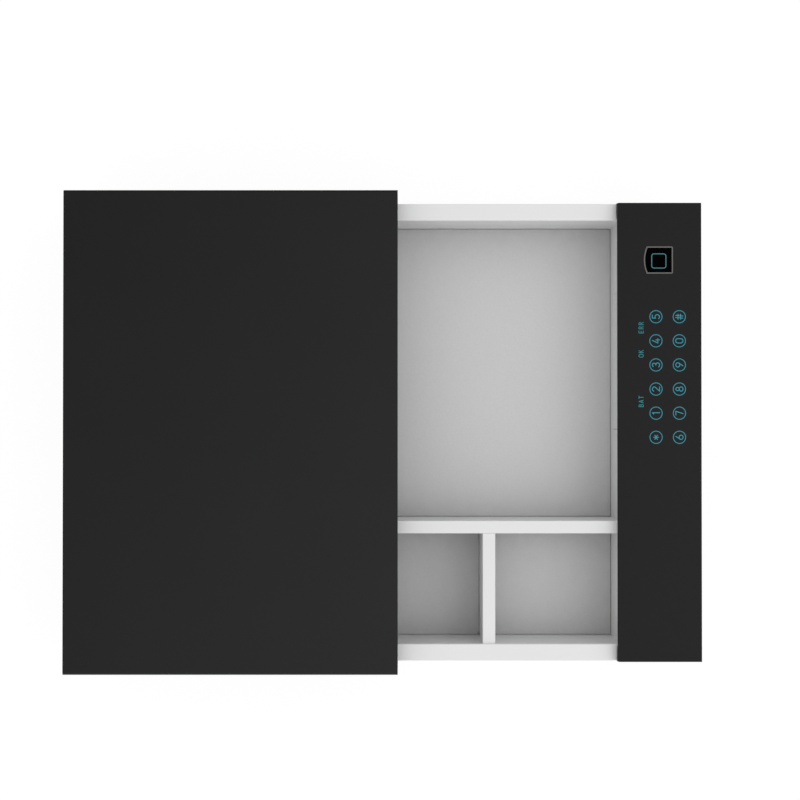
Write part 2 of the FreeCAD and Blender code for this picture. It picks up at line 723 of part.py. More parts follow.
REAR_SCREWS = [
    (sided(side, across), up)
    for side in ("left", "right")
    for across, up in (
        ("inner_half - rear_flange / 2", "housing_height / 4"),
        ("inner_half - rear_flange / 2", "housing_height * 3 / 4"),
        ("half_width / 2", "inner_top - rear_flange / 2"),
    )
]


def build_base_plate():
    """The base plate, with side lips and four anchor holes."""
    body = new_body("base_plate")
    outline = [
        ("-inner_half", "0"), ("inner_half", "0"),
        ("inner_half", "base_lip_top"), ("inner_half - base_wall", "base_lip_top"),
        ("inner_half - base_wall", "base_wall"), ("base_wall - inner_half", "base_wall"),
        ("base_wall - inner_half", "base_lip_top"), ("-inner_half", "base_lip_top"),
    ]
    pad(body, "XZ", [outline], "inner_front", "inner_back")
    holes = [
        (across, along, "anchor_radius")
        for across in ("-base_anchor_wide / 2", "base_anchor_wide / 2")
        for along in ("-base_anchor_deep / 2", "base_anchor_deep / 2")
    ]
    pocket(body, "XY", holes, "0", "base_wall")


def build_rear_panel():
    """The rear panel, with two anchor holes and countersunk screw holes, and its six screws."""
    panel = block(("-inner_half", "inner_half"), ("inner_back", "back_face"), ("0", "inner_top"))
    tools = []
    for side in ("left", "right"):
        centre = (sided(side, "rear_anchor_wide / 2"), "rear_anchor_height")
        tools.append(rod("y", centre, "anchor_radius", "inner_back - past", "back_face + past"))
    screws = []
    for centre in REAR_SCREWS:
        tools.append(rod("y", centre, "screw_radius + screw_gap", "inner_back - past", "back_face + past"))
        tools.append(taper("y", centre, "screw_radius + screw_gap", "screw_head + screw_gap",
                           "back_face - screw_sink", "back_face"))
        shank = rod("y", centre, "screw_radius", "inner_back - flange_wall - screw_tail", "back_face")
        head = taper("y", centre, "screw_radius", "screw_head", "back_face - screw_sink", "back_face")
        socket = hexagon("y", centre, "socket_radius", "back_face - screw_sink", "back_face + past")
        screws.append(cut(fuse(shank, head), socket))
    node("rear_panel", cut(panel, *tools))
    node("rear_panel_screws", group(screws))


def build_mouth_frame():
    """The frame around the mouth, with return lips above and below the drawer."""
    body = new_body("mouth_frame")
    outer = rectangle("-inner_half", "inner_half", "0", "inner_top")
    opening = rectangle("-mouth_half", "mouth_half", "mouth_low", "mouth_top")
    pad(body, "XZ", [outer, opening], "front_face", "inner_front")
    upper = rectangle("-mouth_half", "mouth_half", "mouth_top", "mouth_top + mouth_wall")
    pad(body, "XZ", [upper], "inner_front", "inner_front + mouth_lip")
    lower = rectangle("-mouth_half", "mouth_half", "mouth_low - mouth_wall", "mouth_low")
    pad(body, "XZ", [lower], "inner_front", "inner_front + mouth_lip")


def build_strikes():
    """The strikes, which the lock bolts enter when the drawer is closed."""
    for side in ("left", "right"):
        length = ("strike_y - strike_long / 2", "strike_y + strike_long / 2")
        plate = block(span(side, "strike_x", "strike_x + strike_wall"), length, ("base_wall", "strike_top"))
        foot = block(span(side, "strike_x - strike_foot", "strike_x"), length,
                     ("base_wall", "base_wall + strike_wall"))
        low, high = span(side, "strike_x - past", "strike_x + strike_wall + past")
        hole = rod("x", ("strike_y", "lock_height"), "bolt_radius + strike_hole_gap", low, high)
        node("strike_" + side, cut(fuse(plate, foot), hole))


# Ball slides
SLIDE_SCREWS = {
    "outer": ("outer_back - outer_screw_span", "outer_back - outer_screw_inset"),
    "inner": ("inner_front_end + inner_screw_inset", "tray_rear - inner_screw_inset"),
}


def slide_point(side, depth, rise):
    """Places a point of a slide's section by its depth from the bracket and its rise from the middle."""
    return (sided(side, "slide_x - (%s)" % depth), "slide_height + (%s)" % rise)


def build_slide_bracket(side):
    """A channel on the housing's side that carries the outer slide."""
    section = [
        ("slide_x", "-bracket_tall / 2"), ("inner_half", "-bracket_tall / 2"),
        ("inner_half", "bracket_wall - bracket_tall / 2"),
        ("slide_x + bracket_wall", "bracket_wall - bracket_tall / 2"),
        ("slide_x + bracket_wall", "bracket_tall / 2 - bracket_wall"),
        ("inner_half", "bracket_tall / 2 - bracket_wall"),
        ("inner_half", "bracket_tall / 2"), ("slide_x", "bracket_tall / 2"),
    ]
    outline = [(across, "slide_height + " + rise) for across, rise in section]
    body = new_body("slide_bracket_" + side)
    pad(body, "XZ", [outline if side == "right" else flip(outline)], "outer_front", "outer_back")
    holes = [(along, "slide_height", "slide_screw_radius + screw_gap") for along in SLIDE_SCREWS["outer"]]
    low, high = span(side, "slide_x - past", "slide_x + bracket_wall + past")
    pocket(body, "YZ", holes, low, high)


def build_slide_outer(side):
    """The outer slide: a channel whose flanges hold the balls."""
    section = [
        ("0", "-slide_half"), ("slide_lip", "-slide_half"),
        ("slide_lip", "-lip_edge"), ("slide_lip - slide_wall", "-lip_edge"),
        ("slide_lip - slide_wall", "-slide_inside"), ("slide_wall", "-slide_inside"),
        ("slide_wall", "slide_inside"), ("slide_lip - slide_wall", "slide_inside"),
        ("slide_lip - slide_wall", "lip_edge"), ("slide_lip", "lip_edge"),
        ("slide_lip", "slide_half"), ("0", "slide_half"),
    ]
    body = new_body("slide_outer_" + side)
    outline = [slide_point(side, depth, rise) for depth, rise in section]
    pad(body, "XZ", [outline], "outer_front", "outer_back")
    holes = [(along, "slide_height", "slide_screw_radius + screw_gap") for along in SLIDE_SCREWS["outer"]]
    low, high = span(side, "slide_x - slide_wall - past", "slide_x + past")
    pocket(body, "YZ", holes, low, high)


def build_slide_inner(side):
    """The inner slide: a smaller channel, screwed to the drawer, that runs between the balls."""
    section = [
        ("slide_room", "-inner_rise"), ("slide_room", "inner_rise"),
        ("slide_room - inner_reach", "inner_rise"),
        ("slide_room - inner_reach", "inner_rise - slide_wall"),
        ("slide_room - slide_wall", "inner_rise - slide_wall"),
        ("slide_room - slide_wall", "slide_wall - inner_rise"),
        ("slide_room - inner_reach", "slide_wall - inner_rise"),
        ("slide_room - inner_reach", "-inner_rise"),
    ]
    body = new_body("slide_inner_" + side)
    outline = [slide_point(side, depth, rise) for depth, rise in section]
    pad(body, "XZ", [outline], "inner_front_end", "tray_rear")
    holes = [(along, "slide_height", "slide_screw_radius + screw_gap") for along in SLIDE_SCREWS["inner"]]
    low, high = span(side, "tray_half - past", "tray_half + slide_wall + past")
    pocket(body, "YZ", holes, low, high)


def slide_screw(side, along, face, tip):
    """A low screw along X: its head stands on a face, towards the slide's open side, up to its tip."""
    centre = (along, "slide_height")
    head_low, head_high = face
    shank_low, shank_high = tip
    shank = rod("x", centre, "slide_screw_radius", *span(side, shank_low, shank_high))
    head = rod("x", centre, "slide_screw_head", *span(side, head_low, head_high))
    return fuse(shank, head)


def build_slide_screws():
    """The screws of the outer slides, heads towards the drawer, and of the inner ones, heads outwards."""
    outer, inner = [], []
    for side in ("left", "right"):
        for along in SLIDE_SCREWS["outer"]:
            face = ("slide_x - slide_wall - slide_screw_rise", "slide_x - slide_wall")
            tip = ("slide_x - slide_wall - slide_screw_rise / 2", "slide_x + bracket_wall")
            outer.append(slide_screw(side, along, face, tip))
        for along in SLIDE_SCREWS["inner"]:
            face = ("tray_half + slide_wall", "tray_half + slide_wall + slide_screw_rise")
            tip = ("tray_half - screw_blind", "tray_half + slide_wall + slide_screw_rise / 2")
            inner.append(slide_screw(side, along, face, tip))
    node("slide_outer_screws", group(outer))
    node("slide_inner_screws", group(inner))


def ball_places():
    """Lists each side's ball centres."""
    count = int(value_of("ball_count"))
    return {
        side: [
            (sided(side, "slide_x - ball_offset"), "first_ball + %d * ball_pitch" % number,
             "slide_height + %d * ball_rise" % row)
            for row in (-1, 1) for number in range(count)
        ]
        for side in ("left", "right")
    }


def build_ball_cages():
    """The two ball cages, one in each slide, and their balls."""
    cages, balls = [], []
    length = ("cage_middle - cage_half", "cage_middle + cage_half")
    for side, centres in ball_places().items():
        back = block(span(side, "slide_x - cage_start - cage_back", "slide_x - cage_start"), length,
                     ("slide_height - cage_rise", "slide_height + cage_rise"))
        reach = span(side, "slide_x - cage_end_reach", "slide_x - cage_start")
        upper = block(reach, length, ("slide_height + cage_under", "slide_height + cage_rise"))
        lower = block(reach, length, ("slide_height - cage_rise", "slide_height - cage_under"))
        holes = []
        for across, along, up in centres:
            holes.append(rod("z", (across, along), "ball_radius + ball_hole_gap",
                             up + " - cage_wall", up + " + cage_wall"))
            ball = doc.addObject("Part::Sphere", "ball")
            ball.setExpression("Radius", bound("ball_radius"))
            ball.setExpression("Placement.Base.x", bound(across))
            ball.setExpression("Placement.Base.y", bound(along))
            ball.setExpression("Placement.Base.z", bound(up))
            balls.append(ball)
        cages.append(cut(fuse(back, upper, lower), *holes))
    node("ball_cages", group(cages))
    node("slide_balls", group(balls))


# Drive
def rack_tooth_points(pitch_line, module, sense):
    """The corners of a rack tooth about its own middle; sense is 1 where it points up."""
    slope = "tan(pressure * 1 deg) * " + module
    half = "(pi * %s / 4 - backlash / 4)" % module
    root = "%s - %d * (tooth_depth + tooth_sink) * %s" % (pitch_line, sense, module)
    root_half = "(%s + (tooth_depth + tooth_sink) * %s)" % (half, slope)
    tip = "%s + %d * %s" % (pitch_line, sense, module)
    return [
        ("-" + root_half, root), (root_half, root),
        ("%s - %s" % (half, slope), tip), ("%s - %s" % (slope, half), tip),
    ]


def shifted(points, amount):
    """Moves an outline sideways."""
    return [("%s + %s" % (amount, across), up) for across, up in points]


def build_drive_rack():
    """The toothed rack on the base plate that the drawer's pinion walks along."""
    body = new_body("drive_rack")
    bar = rectangle("rack_front", "rack_front + rack_long", "base_wall", "rack_root")
    pad(body, "YZ", [bar], "pinion_left", "pinion_right")
    tooth = shifted(rack_tooth_points("rack_pitch_line", "rack_module", 1), "rack_front + rack_tooth / 2")
    feature = pad(body, "YZ", [tooth], "pinion_left", "pinion_right")
    repeat_along(body, feature, "Y_Axis", "(rack_teeth - 1) * rack_tooth", "rack_teeth")


def gear_tooth_points(module, teeth, radius, sense):
    """
    The corners of a gear tooth that points up or down its drawing, from the gear's middle.

    The half widths at the pitch circle and at the tip are an involute tooth's, less the play.
    The flank runs straight between them, which keeps it inside the true curve.
    """
    tip = "(%s + %s)" % (radius, module)
    tip_angle = "acos(%s * cos(pressure * 1 deg) / %s)" % (radius, tip)
    at_pitch = "tan(pressure * 1 deg) - pressure * pi / 180"
    involute = "(%s - tan(%s) + %s / 1 rad)" % (at_pitch, tip_angle, tip_angle)
    pitch_half = "(pi * %s / 4 - backlash / 4)" % module
    tip_half = "(%s * (pi / 2 / %s + %s) - backlash / 4)" % (tip, teeth, involute)
    root = "%s - (tooth_depth + tooth_sink) * %s" % (radius, module)
    root_half = "(%s + tooth_flare * %s)" % (pitch_half, module)
    corners = [
        (root_half, root), (pitch_half, radius), (tip_half, tip),
        ("-" + tip_half, tip), ("-" + pitch_half, radius), ("-" + root_half, root),
    ]
    return [(across, "%d * (%s)" % (sense, up)) for across, up in corners]


def add_gear_ring(body, plane, role, gear, sense, low, high):
    """Adds one tooth, up or down, to a gear about its body's own origin, and copies of it all round."""
    module, teeth, radius = gear
    feature = pad(body, plane, [gear_tooth_points(module, teeth, radius, sense)], low, high)
    pattern = body.newObject("PartDesign::PolarPattern", "ring")
    pattern.Originals = [feature]
    pattern.Axis = (origin_axis(body, role), [""])
    pattern.Angle = 360
    pattern.setExpression("Occurrences", bound(teeth))
    body.Tip = pattern
    doc.recompute()


def place_body(body, across, along, up):
    """Binds a body's place to formulas."""
    for axis, formula in (("x", across), ("y", along), ("z", up)):
        body.setExpression("Placement.Base." + axis, bound(formula))


def build_drive_pinion():
    """The drive pinion and its shaft, which reaches into the gearmotor."""
    body = new_body("drive_pinion")
    half = "pinion_wide / 2"
    pad(body, "YZ", [("0", "0", "pinion_radius - tooth_depth * rack_module")], "-" + half, half)
    gear = ("rack_module", "pinion_teeth", "pinion_radius")
    add_gear_ring(body, "YZ", "X_Axis", gear, -1, "-" + half, half)
    shaft_end = "drive_bracket_right - pinion_place + shaft_entry"
    pad(body, "YZ", [("0", "0", "drive_shaft_radius")], "-%s - shaft_tail" % half, shaft_end)
    place_body(body, "pinion_place", "pinion_y", "pinion_z")


def gearmotor(axis, centre, start, radius, shaft_radius):
    """A gearmotor along an axis: gearbox, slimmer motor can and rear boss, bored for its shaft."""
    box_end = start + " + gearbox_length"
    can_end = box_end + " + motor_length"
    gearbox = rod(axis, centre, radius, start, box_end)
    can = rod(axis, centre, radius + " - motor_step", box_end, can_end)
    boss = rod(axis, centre, "boss_radius", can_end, can_end + " + boss_length")
    bore_end = start + " + shaft_entry + past"
    bore = rod(axis, centre, shaft_radius + " + running_gap", start + " - past", bore_end)
    return cut(fuse(gearbox, can, boss), bore)


def build_drive_motor():
    """The drive gearmotor on its bracket, in the drawer under the compartment floor."""
    centre = ("pinion_y", "pinion_z")
    motor = gearmotor("x", centre, "drive_bracket_right", "motor_radius", "drive_shaft_radius")
    node("drive_gearmotor", motor)
    length = ("pinion_y - pinion_radius", "pinion_y + motor_radius")
    plate = block(("drive_bracket_right - sheet_wall", "drive_bracket_right"), length,
                  ("tray_floor", "pinion_z + motor_radius + bracket_rise"))
    foot = block(("drive_bracket_right", "drive_bracket_right + motor_foot"),
                 ("pinion_y - pinion_radius", "pinion_y - motor_radius - bracket_foot_gap"),
                 ("tray_floor", "tray_floor + sheet_wall"))
    hole = rod("x", centre, "drive_shaft_radius + hole_gap", "drive_bracket_right - sheet_wall - past",
               "drive_bracket_right + past")
    node("drive_bracket", cut(fuse(plate, foot), hole))


# Drawer
def build_drawer_shell():
    """The drawer's folded sheet: bottom, sides and the rims with their lips."""
    body = new_body("drawer_shell")
    half_outline = [
        ("tray_half", "tray_low"), ("tray_half", "rim_under"), ("lip_inner", "rim_under"),
        ("lip_inner", "lip_low"), ("head_half", "lip_low"), ("head_half", "rim_top"),
        ("tray_inner", "rim_top"), ("tray_inner", "tray_floor"),
    ]
    pad(body, "XZ", [half_outline + flip(half_outline)], "panel_rear", "tray_rear")
    trough = [
        ("tray_half", "tray_low"), ("tray_half", "rim_top"),
        ("tray_inner", "rim_top"), ("tray_inner", "tray_floor"),
    ]
    pad(body, "XZ", [trough + flip(trough)], "wall_back", "panel_rear")
    slot = rectangle("pinion_left - pinion_slot_gap", "pinion_right + pinion_slot_gap",
                     "pinion_y - pinion_tip - pinion_slot_gap", "pinion_y + pinion_tip + pinion_slot_gap")
    pocket(body, "XY", [slot], "tray_low", "tray_floor")
    bolt_hole = ("lock_y", "lock_height", "bolt_radius + hole_gap")
    pocket(body, "YZ", [bolt_hole], "-tray_half - past", "tray_half + past")
    for side in ("left", "right"):
        holes = [(along, "slide_height", "slide_screw_radius + screw_gap") for along in SLIDE_SCREWS["inner"]]
        low, high = span(side, "tray_half - screw_blind", "tray_half")
        pocket(body, "YZ", holes, low, high)
    top = value_of("rim_top")
    edges = [value_of("head_half"), value_of("tray_inner")]
    round_edges(body, "rim_round", lambda edge: runs(edge, "y") and near(edge.CenterOfMass.z, top)
                and any(near(abs(edge.CenterOfMass.x), across) for across in edges))


def build_drawer_front_wall():
    """The white wall between the compartments and the head, with the battery opening."""
    wall = block(("-tray_inner", "tray_inner"), ("wall_back", "wall_face"), ("tray_floor", "panel_low"))
    opening = block(("battery_left", "battery_right"), ("wall_back - past", "wall_face + past"),
                    ("battery_low", "battery_high"))
    shaft_hole = rod("y", ("0", "lock_height"), "lock_shaft_radius + hole_gap",
                     "wall_back - past", "wall_face + past")
    node("drawer_front_wall", cut(wall, opening, shaft_hole))


def build_drawer_rear_wall():
    """The rear wall of the drawer, with its rim and lip."""
    body = new_body("drawer_rear_wall")
    outline = [
        ("rear_face", "tray_floor"), ("rear_face + sheet_wall", "tray_floor"),
        ("rear_face + sheet_wall", "rim_under"), ("tray_rear - sheet_wall", "rim_under"),
        ("tray_rear - sheet_wall", "lip_low"), ("tray_rear", "lip_low"),
        ("tray_rear", "rim_top"), ("rear_face", "rim_top"),
    ]
    pad(body, "YZ", [outline], "-tray_inner", "tray_inner")
    top = value_of("rim_top")
    edge_places = [value_of("rear_face"), value_of("tray_rear")]
    round_edges(body, "rim_round", lambda edge: runs(edge, "x") and near(edge.CenterOfMass.z, top)
                and any(near(edge.CenterOfMass.y, along) for along in edge_places))


def build_compartment_floor():
    """The floor of the compartments, with lips bent down at the front and rear."""
    body = new_body("compartment_floor")
    outline = [
        ("wall_face", "floor_top"), ("rear_face", "floor_top"),
        ("rear_face", "floor_top - floor_lip"), ("rear_face - sheet_wall", "floor_top - floor_lip"),
        ("rear_face - sheet_wall", "floor_low"), ("wall_face + sheet_wall", "floor_low"),
        ("wall_face + sheet_wall", "floor_top - floor_lip"), ("wall_face", "floor_top - floor_lip"),
    ]
    pad(body, "YZ", [outline], "-tray_inner", "tray_inner")


def divider_section(low, high):
    """The section of a divider: an upside-down channel that stands on the floor."""
    return [
        (low, "floor_top"), (low, "divider_top"), (high, "divider_top"), (high, "floor_top"),
        (high + " - sheet_wall", "floor_top"), (high + " - sheet_wall", "divider_top - sheet_wall"),
        (low + " + sheet_wall", "divider_top - sheet_wall"), (low + " + sheet_wall", "floor_top"),
    ]


def build_dividers():
    """The divider along the drawer and the one across its left part."""
    top = value_of("divider_top")
    lengthwise = new_body("long_divider")
    pad(lengthwise, "XZ", [divider_section("long_left", "long_right")], "wall_face", "rear_face")
    sides = [value_of("long_left"), value_of("long_right")]
    round_edges(lengthwise, "divider_round", lambda edge: runs(edge, "y") and near(edge.CenterOfMass.z, top)
                and any(near(edge.CenterOfMass.x, across) for across in sides))
    crossing = new_body("cross_divider")
    pad(crossing, "YZ", [divider_section("cross_front", "cross_rear")], "-tray_inner", "long_left")
    faces = [value_of("cross_front"), value_of("cross_rear")]
    round_edges(crossing, "divider_round", lambda edge: runs(edge, "x") and near(edge.CenterOfMass.z, top)
                and any(near(edge.CenterOfMass.y, along) for along in faces))


def build_mats():
    """The mats that line the compartments."""
    spans = {
        "main_mat": ("long_right", "tray_inner", "wall_face", "rear_face"),
        "front_small_mat": ("-tray_inner", "long_left", "wall_face", "cross_front"),
        "rear_small_mat": ("-tray_inner", "long_left", "cross_rear", "rear_face"),
    }
    for label, (left, right, front, rear) in spans.items():
        node(label, block((left + " + mat_gap", right + " - mat_gap"),
                          (front + " + mat_gap", rear + " - mat_gap"), ("floor_top", "mat_top")))


# Head
def build_head_shell():
    """The head's shell: front, sides and bottom, with a flange for the panel and the service opening."""
    outer = block(("-head_half", "head_half"), ("head_front", "panel_rear"), ("head_low", "panel_low"))
    front, low, side, top = (value_of(name) for name in ("head_front", "head_low", "head_half", "panel_low"))
    shell = rounded(outer, "head_round", lambda edge:
                    (near(edge.CenterOfMass.y, front) and not near(edge.CenterOfMass.z, top))
                    or (near(edge.CenterOfMass.z, low) and near(abs(edge.CenterOfMass.x), side)))
    inside = block(("-head_inner", "head_inner"), ("head_inside", "panel_rear + past"),
                   ("head_floor", "flange_low"))
    window = block(("panel_flange - head_inner", "head_inner - panel_flange"),
                   ("head_inside + panel_flange", "panel_rear + past"),
                   ("flange_low - past", "panel_low + past"))
    opening = block(("service_left", "service_right"), ("head_front - past", "head_inside + past"),
                    ("service_low", "service_high"))
    node("head_shell", cut(shell, inside, window, opening))


def build_head_rear_plate():
    """The plate that closes the head towards the drawer, with its battery opening and shaft hole."""
    plate = block(("-head_inner", "head_inner"), ("plate_front", "wall_back"), ("head_floor", "flange_low"))
    opening = block(("battery_left", "battery_right"), ("plate_front - past", "wall_back + past"),
                    ("battery_low", "battery_high"))
    shaft_hole = rod("y", ("0", "lock_height"), "lock_shaft_radius + hole_gap",
                     "plate_front - past", "wall_back + past")
    node("head_rear_plate", cut(plate, opening, shaft_hole))


def reader_outline(inset, corner, low, high):
    """A block with the reader's outline: round front corners and a side bulged towards the compartments."""
    body = block(("finger_left + " + inset, "finger_right - " + inset),
                 ("finger_low + " + inset, "finger_high - " + inset), (low, high))
    middle = value_of("finger_middle")
    softened = rounded(body, corner, lambda edge: runs(edge, "z") and edge.CenterOfMass.y < middle)
    round_side = rod("z", ("finger_shift", "finger_high - finger_radius"), "finger_radius - " + inset,
                     low, high)
    return common(softened, round_side)


def build_control_panel():
    """The touch panel on top of the head, with the opening for the fingerprint reader."""
    plate = block(("-head_half", "head_half"), ("head_front", "panel_rear"), ("panel_low", "head_top"))
    rear, side, top = (value_of(name) for name in ("panel_rear", "head_half", "head_top"))
    corners = rounded(plate, "panel_corner", lambda edge: runs(edge, "z") and near(edge.CenterOfMass.y, rear))
    softened = rounded(corners, "panel_round", lambda edge: near(edge.CenterOfMass.z, top)
                       and near(edge.BoundBox.ZLength, 0))
    hole = reader_outline("(-bezel_gap)", "hole_corner", "panel_low - past", "head_top + past")
    node("control_panel", cut(softened, hole))


def build_fingerprint_reader():
    """The reader's bezel and its sensor block, which hangs under the panel."""
    ring = cut(reader_outline("0", "finger_round", "panel_low", "head_top + bezel_rise"),
               reader_outline("bezel_wide", "ring_corner",
                              "panel_low - past", "head_top + bezel_rise + past"))
    node("fingerprint_bezel", ring)
    window = reader_outline("(bezel_wide + bezel_gap)", "window_corner",
                            "panel_low - sensor_tall", "head_top - sensor_sunk")
    carrier = reader_outline("(-bezel_wide)", "carrier_corner",
                             "panel_low - sensor_tall", "panel_low - bezel_gap")
    node("fingerprint_sensor", fuse(window, carrier))


def build_touch_board():
    """The keypad's circuit board with its touch pads and a controller chip."""
    half_length = "((key_columns - 1) * key_pitch / 2 + key_radius + board_margin)"
    half_depth = "(key_row_gap / 2 + key_radius + board_margin)"
    top = "panel_low - pad_wall"
    board = block(("key_shift - " + half_length, "key_shift + " + half_length),
                  ("key_y - " + half_depth, "key_y + " + half_depth), (top + " - board_wall", top))
    pads = []
    for column in range(int(value_of("key_columns"))):
        across = "key_shift + (%d - (key_columns - 1) / 2) * key_pitch" % column
        for row in ("-", "+"):
            pads.append(rod("z", (across, "key_y %s key_row_gap / 2" % row), "key_radius", top, "panel_low"))
    under = top + " - board_wall"
    chip = block(("key_shift - keypad_chip / 2", "key_shift + keypad_chip / 2"),
                 ("key_y - keypad_chip / 2", "key_y + keypad_chip / 2"), (under + " - chip_tall", under))
    node("touch_board", fuse(board, chip, *pads))


def build_main_board():
    """The main circuit board, its standoffs on the head's rear plate, and its buzzer."""
    board = block(("board_left", "board_right"), ("board_front", "board_back"), ("board_low", "board_high"))
    controller = block(("board_middle - controller_chip / 2", "board_middle + controller_chip / 2"),
                       ("board_front - chip_tall", "board_front"),
                       ("board_lift - controller_chip / 2", "board_lift + controller_chip / 2"))
    sockets = []
    for number in range(int(value_of("plug_count"))):
        middle = "board_middle + (%d - (plug_count - 1) / 2) * plug_pitch" % number
        sockets.append(block((middle + " - plug_wide / 2", middle + " + plug_wide / 2"),
                             ("board_front - plug_tall", "board_front"),
                             ("board_high - plug_inset - plug_tall", "board_high - plug_inset")))
    relay = block(("board_right - relay_inset - relay_wide", "board_right - relay_inset"),
                  ("board_front - relay_deep", "board_front"),
                  ("board_low + relay_inset", "board_low + relay_inset + relay_wide"))
    corners = [(across, up)
               for across in ("board_left + standoff_inset", "board_right - standoff_inset")
               for up in ("board_low + standoff_inset", "board_high - standoff_inset")]
    holes = [rod("y", corner, "standoff_radius / 2 + screw_gap", "board_front - past", "board_back + past")
             for corner in corners]
    node("main_board", cut(fuse(board, controller, relay, *sockets), *holes))
    posts = [
        fuse(rod("y", corner, "standoff_radius", "board_back", "plate_front"),
             rod("y", corner, "standoff_radius / 2", "board_front - stud_length", "board_back"))
        for corner in corners
    ]
    node("board_standoffs", group(posts))
    centre = ("board_left + buzzer_inset", "board_low + buzzer_inset")
    body = rod("y", centre, "buzzer_radius", "board_front - buzzer_tall", "board_front")
    vent = rod("y", centre, "buzzer_radius / 5", "board_front - buzzer_tall - past",
               "board_front - buzzer_tall / 2")
    node("buzzer", cut(body, vent))


# Batteries
def cell_centres():
    """Lists the batteries' middles, with the sense in which each one lies."""
    return [
        ("battery_shift + %d * cell_column / 2" % column,
         "battery_lift + %d * cell_row / 2" % row, column * row)
        for column in (-1, 1) for row in (-1, 1)
    ]


def build_batteries():
    """The battery box, four batteries and their contacts."""
    box = block(("battery_left + holder_gap", "battery_right - holder_gap"), ("holder_front", "wall_back"),
                ("battery_low + holder_gap", "battery_high - holder_gap"))
    inside = block(("battery_left + holder_gap + holder_wall", "battery_right - holder_gap - holder_wall"),
                   ("holder_front + holder_wall", "wall_back + past"),
                   ("battery_low + holder_gap + holder_wall", "battery_high - holder_gap - holder_wall"))
    node("battery_holder", cut(box, inside))
    batteries, contacts = [], []
    for across, up, sense in cell_centres():
        low, high = across + " - cell_length / 2", across + " + cell_length / 2"
        tip = (high, high + " + cell_tip") if sense > 0 else (low + " - cell_tip", low)
        batteries.append(fuse(rod("x", ("cell_y", up), "cell_radius", low, high),
                              rod("x", ("cell_y", up), "cell_tip_radius", *tip)))
        ends = ((low + " - cell_tip - contact_wall", low + " - cell_tip"),
                (high + " + cell_tip", high + " + cell_tip + contact_wall"))
        for end in ends:
            contacts.append(block(end, ("cell_y - cell_radius + contact_inset",
                                        "cell_y + cell_radius - contact_inset"),
                                  (up + " - cell_radius + contact_inset",
                                   up + " + cell_radius - contact_inset")))
    node("batteries", group(batteries))
    node("battery_contacts", group(contacts))


def lift_off_cover(label, opening, inset, depth, clip_depth, notch_depth):
    """A flush cover for a (left, right, low, high) opening, with four clips and a thumbnail notch."""
    left, right, low, high = opening
    pieces = [block((left + " + cover_gap", right + " - cover_gap"), depth,
                    (low + " + cover_gap", high + " - cover_gap"))]
    rises = ("%s + %s" % (low, inset), "%s - (%s) - clip_wall" % (high, inset))
    for rise in rises:
        for quarter in (1, 3):
            middle = "%s + %d * (%s - %s) / 4" % (left, quarter, right, left)
            pieces.append(block((middle + " - clip_wide / 2", middle + " + clip_wide / 2"),
                                clip_depth, (rise, rise + " + clip_wall")))
    notch_place = ("(%s + %s) / 2" % (left, right), high + " - cover_gap")
    node(label, cut(fuse(*pieces), rod("y", notch_place, "notch_radius", *notch_depth)))


def build_covers():
    """The battery cover in the drawer's front wall and the service cover in the head's front."""
    lift_off_cover("battery_cover", ("battery_left", "battery_right", "battery_low", "battery_high"),
                   "holder_gap + holder_wall + cover_gap", ("wall_back", "wall_face"),
                   ("wall_back - clip_long", "wall_back"), ("wall_face - notch_deep", "wall_face + past"))
    lift_off_cover("service_cover", ("service_left", "service_right", "service_low", "service_high"),
                   "cover_gap", ("head_front", "head_inside"), ("head_inside", "head_inside + clip_long"),
                   ("head_front - past", "head_front + notch_deep"))


# Service recess and key lock
def build_service_recess():
    """The pocket behind the service cover, with holes for the key lock and the power socket."""
    outer = block(("service_left - recess_wall", "service_right + recess_wall"),
                  ("head_inside", "recess_back"),
                  ("service_low - recess_wall", "service_high + recess_wall"))
    inside = block(("service_left", "service_right"), ("head_inside - past", "recess_face"),
                   ("service_low", "service_high"))
    lock_hole = rod("y", ("0", "lock_height"), "keylock_radius + screw_gap",
                    "recess_face - past", "recess_back + past")
    socket_hole = block(("usb_place - usb_wide / 2", "usb_place + usb_wide / 2"),
                        ("recess_face - past", "recess_back + past"),
                        ("lock_height - usb_tall / 2", "lock_height + usb_tall / 2"))
    node("service_recess", cut(outer, inside, lock_hole, socket_hole))
    shell = block(("usb_place - usb_wide / 2", "usb_place + usb_wide / 2"),
                  ("recess_face - usb_proud", "recess_face - usb_proud + usb_long"),
                  ("lock_height - usb_tall / 2", "lock_height + usb_tall / 2"))
    hollow = block(("usb_place - usb_wide / 2 + usb_wall", "usb_place + usb_wide / 2 - usb_wall"),
                   ("recess_face - usb_proud - past", "recess_face - usb_proud + usb_long - usb_back"),
                   ("lock_height - usb_tall / 2 + usb_wall", "lock_height + usb_tall / 2 - usb_wall"))
    tongue = block(("usb_place - usb_wide / 4", "usb_place + usb_wide / 4"),
                   ("recess_face + usb_proud", "recess_face - usb_proud + usb_long - usb_back"),
                   ("lock_height - usb_wall", "lock_height + usb_wall"))
    node("usb_port", fuse(cut(shell, hollow), tongue))


